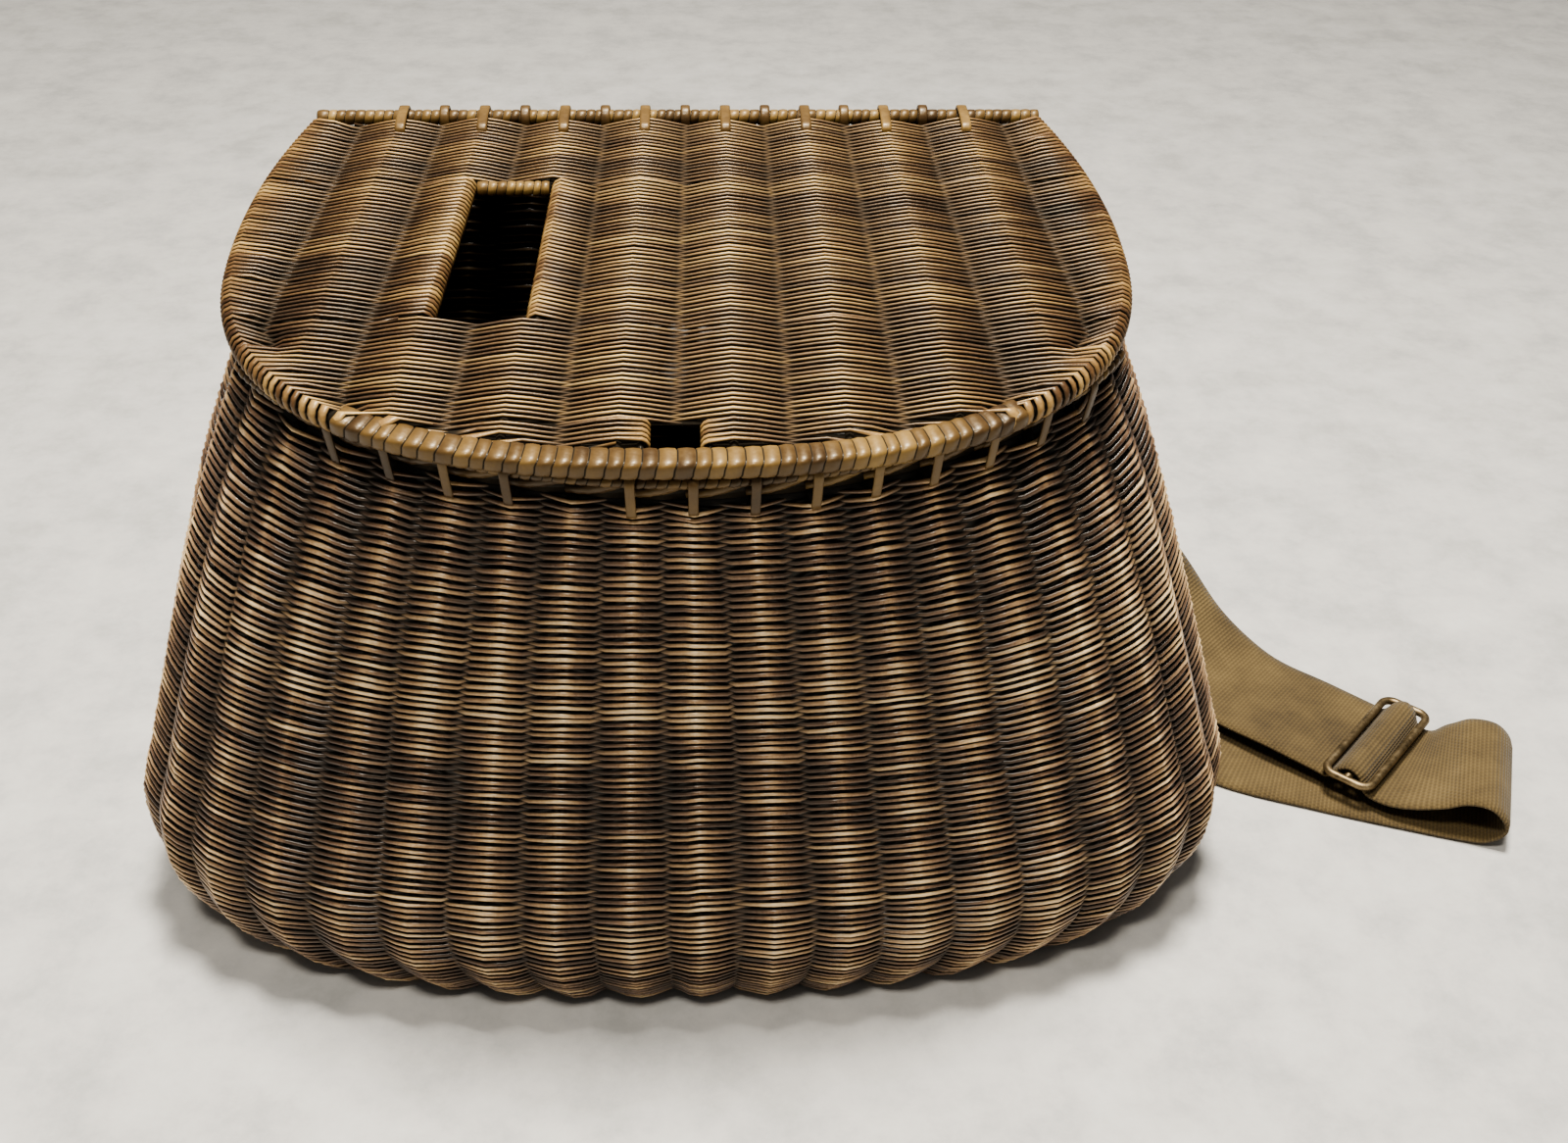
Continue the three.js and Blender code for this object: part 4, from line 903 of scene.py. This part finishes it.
# A chain's table has 12 columns: place, side and up directions, the two half widths, and the swing.
def lid_row(k, y, ends, pitch, flip, seed):
    """One row's part of a chain's table, from left to right, and the faces on which it meets its ends."""
    lift = -1 if k % 2 == 0 else 1
    ribs = [rib_at(edge[0], y) for edge in ends]
    met = [lift * (1 if round(float(rib)) % 2 == 0 else -1) for rib in ribs]
    first = ceil((ribs[0] + ROW_END_GAP) * LID_SAMPLES)
    last = floor((ribs[1] - ROW_END_GAP) * LID_SAMPLES)
    grid = np.arange(first, last + 1) / LID_SAMPLES
    x = rib_x(grid, y)
    in_left = smoothstep(x - ends[0][0], *EDGE_FADE)
    in_right = smoothstep(ends[1][0] - x, *EDGE_FADE)
    off = LID_SWING * lift * swing_at(grid) * in_left * in_right
    off = off + (1 - in_left) * met[0] * edge_reach(ends[0]) + (1 - in_right) * met[1] * edge_reach(ends[1])
    full = np.clip(np.abs(off) / LID_SWING, 0, 1)
    sway = 0.17 * smooth_noise(x + 31.0 * k, seed, 11.0) + 0.5 * smooth_noise(x, seed + 1, 22.0)
    half_side = LID_STRAND * (0.87 + 0.13 * full)
    half_up = pitch * LID_STRAND_SHARE * (0.92 + 0.08 * full)
    columns = (x, y + sway, off, 0, 0, flip, 0, 1, 0, half_side, half_up, off / LID_SWING * flip)
    return np.stack(np.broadcast_arrays(*columns), -1), met


def lid_turn(here, there, y, next_y, pitch, flip, met):
    """A chain's turn round a rolled edge, from one row to the next."""
    out = np.array([here[1], here[2], 0.0])
    along = unit(np.array([-out[1], out[0], 0.0]))
    along = along * (1 if along[1] > 0 else -1)
    spread = pitch / max(abs(along[1]), 0.35)
    table = []
    for j, beta in enumerate(TURN_ANGLES * met):
        t = (j + 0.5) / len(TURN_ANGLES)
        middle = np.array([here[0] * (1 - t) + there[0] * t, y * (1 - t) + next_y * t, 0.0])
        radial = out * cos(beta) + UP * sin(beta)
        place = middle + radial * edge_reach(here)
        table.append((*place, *(radial * flip * met), *along, LID_STRAND, spread * 0.8, flip * met))
    return np.array(table)


def lid_chain(b, rows, left, right, seed):
    """One weaver that runs to and fro across the lid and turns back round the rolled edges."""
    pitch = abs(rows[1] - rows[0])
    parts = []
    flip = 1.0
    for k, y in enumerate(rows):
        going = 1 if k % 2 == 0 else -1
        row, met = lid_row(k, y, (left(y), right(y)), pitch, flip, seed)
        parts.append(row[::going])
        if k + 1 < len(rows):
            edge, side = (right, met[1]) if going > 0 else (left, met[0])
            parts.append(lid_turn(edge(y), edge(rows[k + 1]), y, rows[k + 1], pitch, flip, side))
        flip = -flip
    table = np.concatenate(parts)
    p = lid_to_frame(table[:, :3])
    sides, ups = lid_direction(table[:, 3:6]), lid_direction(table[:, 6:9])
    half_side, half_up, swing = table[:, 9:].T
    travel = arc_lengths(p)
    thick = 1 + 0.12 * smooth_noise(travel, seed + 2, 60.0) + 0.14 * smooth_noise(travel, seed + 4, 17.0)
    weaver = np.floor(travel / 700)
    # Brighter over the crests, where the strands stand out: partly wear, partly painted highlight.
    tone = (0.46 + 0.16 * smooth_noise(weaver * 3.7 + seed, 70) + 0.17 * smooth_noise(travel, seed + 3, 19.0)
            + 0.2 * (np.abs(swing) ** 3 - 0.35))
    # Painted sheen: the lid's middle is brighter.
    centre_painted_sheen = 0.12 * (1 - np.abs(p[:, 0]) / 110)
    b.tube(p, sides, ups, half_side, half_up * thick, tone + centre_painted_sheen, strand_faces(swing))


def lid_zones():
    """The sheet's zones from back to front: start, end, and the edges at the ends of each run of rows."""
    left, right = side_edge(-1), side_edge(1)
    hole = [straight_edge(lambda y, rib=rib: rib_x(rib, y), sign, HOLE_RADIUS)
            for rib, sign in zip(HOLE_RIBS, (1, -1))]
    notch = [straight_edge(lambda y, x=x: x, sign, NOTCH_RADIUS) for x, sign in zip(NOTCH_X, (1, -1))]
    notch_back = SHEET_FRONT + NOTCH_DEPTH
    return [
        (-LID_REAR - 0.6, HOLE_BACK - 0.5, [(left, right)]),
        (HOLE_BACK - 0.9, HOLE_FRONT, [(left, hole[0]), (hole[1], right)]),
        (HOLE_FRONT - 0.4, notch_back, [(left, right)]),
        (notch_back - 0.4, SHEET_FRONT + 0.2, [(left, notch[0]), (notch[1], right)]),
    ]


def add_lid_core(b, zones):
    """A thin sheet in the lid's middle, painted near-black as shade, so that no light passes between its
    strands.
    """
    for start, end, spans in zones:
        y = np.linspace(start + 0.4, end - 0.4, 60)
        for edges in spans:
            left, right = (np.array([edge(at)[0] for at in y]) for edge in edges)
            corners = [(left, CORE_HALF), (left, -CORE_HALF), (right, -CORE_HALF), (right, CORE_HALF)]
            rings = np.stack([np.stack([x, y, np.full(len(y), z)], -1) for x, z in corners], 1)
            b.rings(lid_to_frame(rings), DARK, np.zeros((len(y), 4)))


def add_lid_weave():
    b = Builder()
    for k, (start, end, spans) in enumerate(lid_zones()):
        # An odd number of rows starts at the left edge and ends at the right one.
        count = int(round((start - end) / LID_ROW)) // 2 * 2 + 1
        rows = np.linspace(start, end, count)
        for j, (left, right) in enumerate(spans):
            lid_chain(b, rows, left, right, 500 + 20 * k + 7 * j)
    b.object("lid_weave", LID_WILLOW, "lid", ["lid_panel"])


# Rods under the weave: their low rise paints them near-black, as shade.
def rib_tube(b, x, y, radius, rise=0.2):
    p = lid_to_frame(np.stack([x, y, np.zeros(len(y))], -1))
    forward = unit(np.gradient(p, axis=0))
    up = square_to(LID_UP, forward)
    b.tube(p, up, np.cross(forward, up), radius, radius, 0.3, rise)


def add_lid_ribs():
    """The ribs that the weave runs over, the rolled edges' insides and the sheet's core."""
    b = Builder()
    place, _ = lid_edge(np.linspace(0, 2, 800), 2.0)
    place = place[np.argsort(place[:, 1])]
    y = np.linspace(-LID_REAR, -LID_DEPTH + 6, 60)
    limit = np.interp(y, place[:, 1], place[:, 0]) - 3.0
    for rib in range(RIB_COUNT):
        x = rib_x(rib, y)
        keep = np.abs(x) < limit
        spans = [keep]
        if HOLE_RIBS[0] - 0.1 < rib < HOLE_RIBS[1] + 0.1:
            spans = [keep & (y > HOLE_BACK), keep & (y < HOLE_FRONT)]
        for span in spans:
            rib_tube(b, x[span], y[span], RIB_RADIUS)
    add_lid_core(b, lid_zones())
    for rib in HOLE_RIBS:
        y = np.linspace(HOLE_BACK + 2, HOLE_FRONT - 2, 12)
        rib_tube(b, rib_x(rib, y), y, HOLE_RADIUS - 2 * LID_STRAND, HIDDEN_PAINTED_SHADE)
    place, _ = lid_edge(np.linspace(LID_REAR / WIDEST, RIM_END_SHARE, 60), EDGE_RADIUS)
    for sign in (-1, 1):
        rib_tube(b, sign * place[:, 0], place[:, 1], EDGE_RADIUS - 2 * LID_STRAND, HIDDEN_PAINTED_SHADE)
    for x in NOTCH_X:
        y = np.linspace(SHEET_FRONT + 12, SHEET_FRONT - 2, 5)
        rib_tube(b, np.full_like(y, x), y, NOTCH_RADIUS - 1.7)
    b.object("lid_ribs", LID_WILLOW, "lid")


def add_lid_rim():
    b = Builder()
    share = np.concatenate([np.linspace(RIM_END_SHARE, 2, 200), np.linspace(2, RIM_END_SHARE, 200)[1:]])
    sign = np.concatenate([np.full(200, -1.0), np.full(199, 1.0)])
    place, _ = lid_edge(share, RIM_HALF_WIDTH)
    path = lid_to_frame(np.stack([sign * place[:, 0], place[:, 1], np.zeros(len(share))], -1))
    wrapped(b, path, LID_UP, RIM_HALF_WIDTH - 0.1, RIM_HALF_HEIGHT - 0.1, RIM_TURN, 80, power=0.5, sides=20,
            lean=0.9, groove=0.45, tone=0.43)
    b.object("lid_rim_wrapped", CANE, "lid", ["lid_rim"])


BAR_RADIUS, BAR_TURN = 2.15, 2.6
BAR_INSET, BAR_RISE = 3.9, 0.6


def add_fish_bar():
    b = Builder()
    y = HOLE_BACK - 3.0
    left, right = rib_x(HOLE_RIBS[0], y) + BAR_INSET, rib_x(HOLE_RIBS[1], y) - BAR_INSET
    path = lid_to_frame(np.array([[left, y, BAR_RISE], [right, y, BAR_RISE]]))
    wrapped(b, path, LID_UP, BAR_RADIUS, BAR_RADIUS, BAR_TURN, 90, tone=0.55)
    b.object("fish_bar_wrapped", CANE, "lid", ["fish_hole_bar"])


HINGE_HALF = 114.0
HINGE_RADIUS = 2.35
HINGE_TIE_WIDTH, ROD_TIE_WIDTH = 3.2, 3.0
HINGE_TIE_RADIUS = 3.35
HINGE_TIE_SWEEP = 0.42 * pi
# A hinge tie's way through the lid and back, as y and z from the hinge
HINGE_TIE_WAY = [(-LID_REAR, 4.05), (-11.0, 4.05), (-12.3, 3.2), (-12.35, 0), (-12.3, -3.2), (-11.0, -4.05),
                 (-LID_REAR, -4.05)]


def add_hinge():
    b = Builder()
    path = np.array([[-HINGE_HALF, HINGE_Y, HINGE_Z], [HINGE_HALF, HINGE_Y, HINGE_Z]])
    wrapped(b, path, UP, HINGE_RADIUS, HINGE_RADIUS, CANE_TURN, 100)
    b.object("hinge_rod_wrapped", CANE, "body", ["hinge_rod"])
    b = Builder()
    angles = np.linspace(-HINGE_TIE_SWEEP, HINGE_TIE_SWEEP, 12)
    ring = [(HINGE_TIE_RADIUS * cos(a), HINGE_TIE_RADIUS * sin(a)) for a in angles]
    flat = np.array([*ring, *HINGE_TIE_WAY, ring[0]])
    for rib in range(RIB_COUNT):
        x = rib_x(rib, -LID_REAR)
        path = lid_to_frame(np.stack([np.full(len(flat), x), flat[:, 0], flat[:, 1]], -1))
        tone = 0.5 + 0.14 * one_noise(rib * 1.7, 101)
        strip(b, path, (1, 0, 0), HINGE_TIE_WIDTH, tone, step=0.7)
    names = [f"hinge_tie_{i + 1:02d}" for i in range(RIB_COUNT)]
    b.object("hinge_ties", CANE, "lid", names)


def add_rod_ties():
    """Flat cane over the hinge rod and down both sides of the border under it."""
    b = Builder()
    names = [f"rod_tie_{i + 1:02d}" for i in range(RIB_COUNT - 1)]
    for i, name in enumerate(names):
        low, high = (np.array(v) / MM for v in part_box(name))
        x, inset = (low[0] + high[0]) / 2, TIE_THICKNESS / 2
        front, back = low[1] + inset, high[1] - inset
        radius = high[2] - inset - HINGE_Z
        shoulder = HINGE_Z - radius - 2.4
        around = np.radians(np.linspace(175, 5, 14))
        over = [(x, HINGE_Y + radius * cos(a), HINGE_Z + radius * sin(a)) for a in around]
        up, down = ([(x, y, low[2]), (x, y, shoulder)] for y in (front, back))
        path = np.array([*up, *over, *down[::-1]])
        # A low tone, darker than the other cane: painted shade.
        tone = 0.3 + 0.1 * one_noise(i * 1.9, 102)
        strip(b, path, (1, 0, 0), ROD_TIE_WIDTH, tone, step=0.7)
    b.object("rod_ties", CANE, "body", names)


# Strap, slider and loops
STRAP_HALF_WIDTH = 25.0
STRAP_HALF_THICKNESS = 0.92
LOOP_BAR_Y = 90.925 + 3.6 + 12
LOOP_X = 70.0
LOOP_Z = 148.0
LOOP_RADIUS = 2.5
LOOP_BEND = 5.0
SLIDER_CENTRE = np.array([252.0, 31, 12.5])
SLIDER_HEADING = radians(-42.6)
SLIDER_PITCH = 17.0
WIRE_RADIUS = 1.5
SLIDER_CORNER = 4.0
STRAP_BEND = 4.6
SPLINE_STEPS = 8
# The route's points are the source's, but where its two runs cross they lie 1 to 2 mm further apart.
ROUTE_OUT = [
    (84, 104.4, 147.5, 90), (106, 106, 132, 88), (132, 108, 100, 80), (155, 108, 65.5, 62),
    (174.5, 102.5, 37.5, 35), (192, 88, 18, 10), (210, 70, 10, 0), (229, 52, 9.2, 0),
]
ROUTE_BACK = [
    (273, 16.9, 13, 0), (279.5, 14.4, 17.2, 0), (287.5, 10.8, 17.4, 0), (293, 8.4, 10, 0),
    (288.5, 10.4, 3.2, 0), (280, 13.6, 1.6, 0), (262, 20, 1.4, 0), (232, 31.5, 1.4, 0),
    (205, 43.5, 1.7, 0), (188, 59, 3.6, 3),
    (169, 81, 13, 24), (145, 98, 28.5, 66), (118, 101.5, 45, 86), (80, 100.5, 69, 90), (42, 99.8, 98, 90),
    (6, 99.8, 125, 90), (-24, 100.8, 142, 90), (-48, 102, 147.6, 90),
]


def strap_end(x):
    """The strap's turn round one loop, with its sewn tail."""
    k, d = STRAP_BEND, 0.7
    tail = [(30, 4.2 - k), (18, 4.2 - k), (8, 0.75 * k)]
    turn = [(0, k), (-k * d, k * d), (-k, 0), (-k * d, -k * d), (0, -k)]
    return [(x + dx, LOOP_BAR_Y + dy, LOOP_Z, 90) for dx, dy in tail + turn]


def strap_rows():
    """Points of the whole route, each with the tilt of the webbing in degrees."""
    rise, half = WIRE_RADIUS + CLEARANCE + 1.0, SLIDER_PITCH / 2
    under = -rise - 1.3
    steps = [(-half - 4, under), (1 - half, under), (-half * 0.4, rise * 0.5), (0, rise + 0.3),
             (half * 0.4, rise * 0.5), (half - 1.8, under), (half + 5.5, under - 0.3)]
    x, y, z = SLIDER_CENTRE
    c, s = cos(SLIDER_HEADING), sin(SLIDER_HEADING)
    slide = [(x + a * c, y + a * s, z + lift, 0) for a, lift in steps]
    ends = strap_end(LOOP_X), strap_end(-LOOP_X)[::-1]
    return np.array([*ends[0], *ROUTE_OUT, *slide, *ROUTE_BACK, *ends[1]], float)


def catmull(points, steps):
    """The source's centripetal spline through points, with its steps between them."""
    p = np.concatenate([[2 * points[0] - points[1]], points, [2 * points[-1] - points[-2]]])
    out = []
    for i in range(len(points) - 1):
        a, b, c, d = p[i:i + 4]
        dt = [max(np.linalg.norm(v) ** 0.5, 1e-4) for v in (b - a, c - b, d - c)]
        m1 = ((b - a) / dt[0] - (c - a) / (dt[0] + dt[1]) + (c - b) / dt[1]) * dt[1]
        m2 = ((c - b) / dt[1] - (d - b) / (dt[1] + dt[2]) + (d - c) / dt[2]) * dt[1]
        t = (np.arange(steps) / steps)[:, None]
        out.append(hermite(b, c, m1, m2, t))
    return np.concatenate([*out, points[-1:]])


def webbing_across(line, along, tilt):
    """The direction across the webbing at each point, smoothed over its neighbours."""
    across = np.zeros_like(line)
    last = UP
    for i in range(len(line)):
        level = unit(np.cross(UP, along[i]))
        if level @ last < 0 and tilt[i] < radians(80):
            level = -level
        last = level * cos(tilt[i]) + UP * sin(tilt[i])
        last = unit(last - along[i] * (last @ along[i]))
        across[i] = last
    steady = np.zeros_like(across)
    for i in range(len(line)):
        near = slice(max(i - 48, 0), i + 49)
        weight = np.exp(-(np.linalg.norm(line[near] - line[i], axis=1) / 13) ** 2)
        steady[i] = (across[near] * weight[:, None]).sum(0)
    return unit(steady)


def add_strap():
    rows = strap_rows()
    line = catmull(rows[:, :3], SPLINE_STEPS)
    tilt = np.radians(np.interp(np.arange(len(line)) / SPLINE_STEPS, np.arange(len(rows)), rows[:, 3]))
    along = unit(np.gradient(line, axis=0))
    across = webbing_across(line, along, tilt)
    rise = unit(np.cross(along, across))
    travel = arc_lengths(line)
    v = np.concatenate([np.linspace(-1, 1, 15), np.linspace(1, -1, 15)])
    face = np.concatenate([np.ones(15), -np.ones(15)])
    edge = np.clip((np.abs(v) - 0.93) / 0.07, 0, 1)
    thick = STRAP_HALF_THICKNESS * np.sqrt(np.maximum(1 - 0.75 * edge**2, 0))
    selvedge = 0.14 * np.exp(-((np.abs(v) - 0.93) / 0.05) ** 2)
    cup = 0.25 * np.sin(travel / 23)[:, None] * (v**2 - 0.4)[None, :]
    ripple = 0.2 * smooth_noise(travel, 120, 9.0)[:, None] * (np.abs(v) ** 6)[None, :]
    # The webbing lies flatter at its sewn ends, and where its two runs lie on each other.
    fade = smoothstep(travel, 30, 80) * smoothstep(travel[-1] - travel, 30, 80)
    fade = fade * (1 - 0.9 * smoothstep(line[:, 0], 95, 125) * smoothstep(-line[:, 0], -235, -215))
    lift = (cup + ripple) * fade[:, None]
    floor_part = (line[:, 2] < 5)[:, None]
    lift = np.where(floor_part, np.abs(lift) * 0.6, lift)
    reach = v * STRAP_HALF_WIDTH
    p = (line[:, None, :] + across[:, None, :] * (reach * (1 - 0.004 * edge))[None, :, None]
         + rise[:, None, :] * (face * (thick + selvedge))[None, :, None] + UP * lift[..., None])
    b = Builder()
    b.rings(p)
    b.uv.append(np.stack(np.broadcast_arrays(reach[None, :], travel[:, None]), -1).reshape(-1, 2))
    b.object("strap_webbing", WEBBING, "body", ["strap"], lowest=0.1)


def add_slider():
    b = Builder()
    half = SLIDER_PITCH / 2
    half_length = STRAP_HALF_WIDTH + 0.5 + WIRE_RADIUS
    turns = []
    for sx, sy, start in ((1, 1, 0), (-1, 1, 90), (-1, -1, 180), (1, -1, 270)):
        x, y = sx * (half - SLIDER_CORNER), sy * (half_length - SLIDER_CORNER)
        for a in np.radians(np.linspace(start, start + 90, 9)):
            turns.append((x + SLIDER_CORNER * cos(a), y + SLIDER_CORNER * sin(a), 0))
    wire = np.array(turns)
    c, s = cos(SLIDER_HEADING), sin(SLIDER_HEADING)
    turn = np.array([[c, s, 0], [-s, c, 0], [0, 0, 1]])
    side = np.cross(UP, unit(np.roll(wire, -1, 0) - np.roll(wire, 1, 0)))
    ups = np.tile(UP, (len(wire), 1))
    b.tube(wire @ turn + SLIDER_CENTRE, side @ turn, ups, WIRE_RADIUS, WIRE_RADIUS, sides=12, closed=True)
    bar = np.stack([np.zeros(9), np.linspace(-half_length, half_length, 9), np.zeros(9)], -1)
    ahead = np.tile(np.array([c, s, 0]), (9, 1))
    thin = WIRE_RADIUS - 0.05
    b.tube(bar @ turn + SLIDER_CENTRE, ups[:9], ahead, thin, thin, sides=12)
    b.object("slider_wire", WIRE, "body", ["slider"])


def loop_corner(x, y, z, turn):
    """A strap loop's rounded corner at y and z; turn is 1 where it goes on upward, or else -1."""
    r = LOOP_BEND
    angles = np.linspace(0, pi / 2, 8)
    return [(x, y - r + r * sin(a), z + turn * (r - r * cos(a))) for a in angles]


def add_loops():
    for name, x in (("strap_loop_right", LOOP_X), ("strap_loop_left", -LOOP_X)):
        low, high = (np.array(v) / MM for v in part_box(name))
        near, far = low[1], high[1] - LOOP_RADIUS
        bottom, top = low[2] + LOOP_RADIUS, high[2] - LOOP_RADIUS
        corners = [*loop_corner(x, far, bottom, 1), *loop_corner(x, far, top, -1)[::-1]]
        path = np.array([(x, near, bottom), *corners, (x, near, top)])
        b = Builder()
        wrapped(b, path, (1, 0, 0), LOOP_RADIUS - 0.1, LOOP_RADIUS - 0.1, 2.8, 130 + int(x > 0))
        b.object(name + "_wrapped", CANE, "body", [name])


add_wall()
add_base()
add_border()
add_rim_rod()
add_border_ties()
add_lid_weave()
add_lid_ribs()
add_lid_rim()
add_fish_bar()
add_hinge()
add_rod_ties()
add_strap()
add_slider()
add_loops()


# Floor and light
FLOOR_HALF = 6


def add_floor():
    h = FLOOR_HALF
    mesh = bpy.data.meshes.new("floor")
    mesh.from_pydata([(-h, -h, 0), (h, -h, 0), (h, h, 0), (-h, h, 0)], [], [(0, 1, 2, 3)])
    mesh.materials.append(floor_material())
    new_object("floor", mesh)


def add_light(name, place, target, size, power, colour):
    data = bpy.data.lights.new(name, "AREA")
    data.shape = "RECTANGLE"
    data.size, data.size_y = size
    data.energy = power
    data.color = colour
    lamp = new_object(name, data)
    lamp.location = place
    lamp.rotation_mode = "QUATERNION"
    lamp.rotation_quaternion = (Vector(target) - Vector(place)).to_track_quat("-Z", "Y")


add_floor()
add_light("key", (0.05, 0.1, 1.5), (0, 0, 0.1), (0.3, 0.3), 44, (1, 0.95, 0.86))
add_light("front", (-0.12, -0.7, 1.6), (0, 0, 0.12), (0.25, 0.25), 17, (1, 0.95, 0.86))
world = bpy.data.worlds.new("world")
bpy.context.scene.world = world
world.use_nodes = True
world.node_tree.nodes["Background"].inputs["Color"].default_value = (0.9, 0.88, 0.84, 1)
world.node_tree.nodes["Background"].inputs["Strength"].default_value = 0.2
bpy.context.scene.view_settings.look = "AgX - Medium High Contrast"
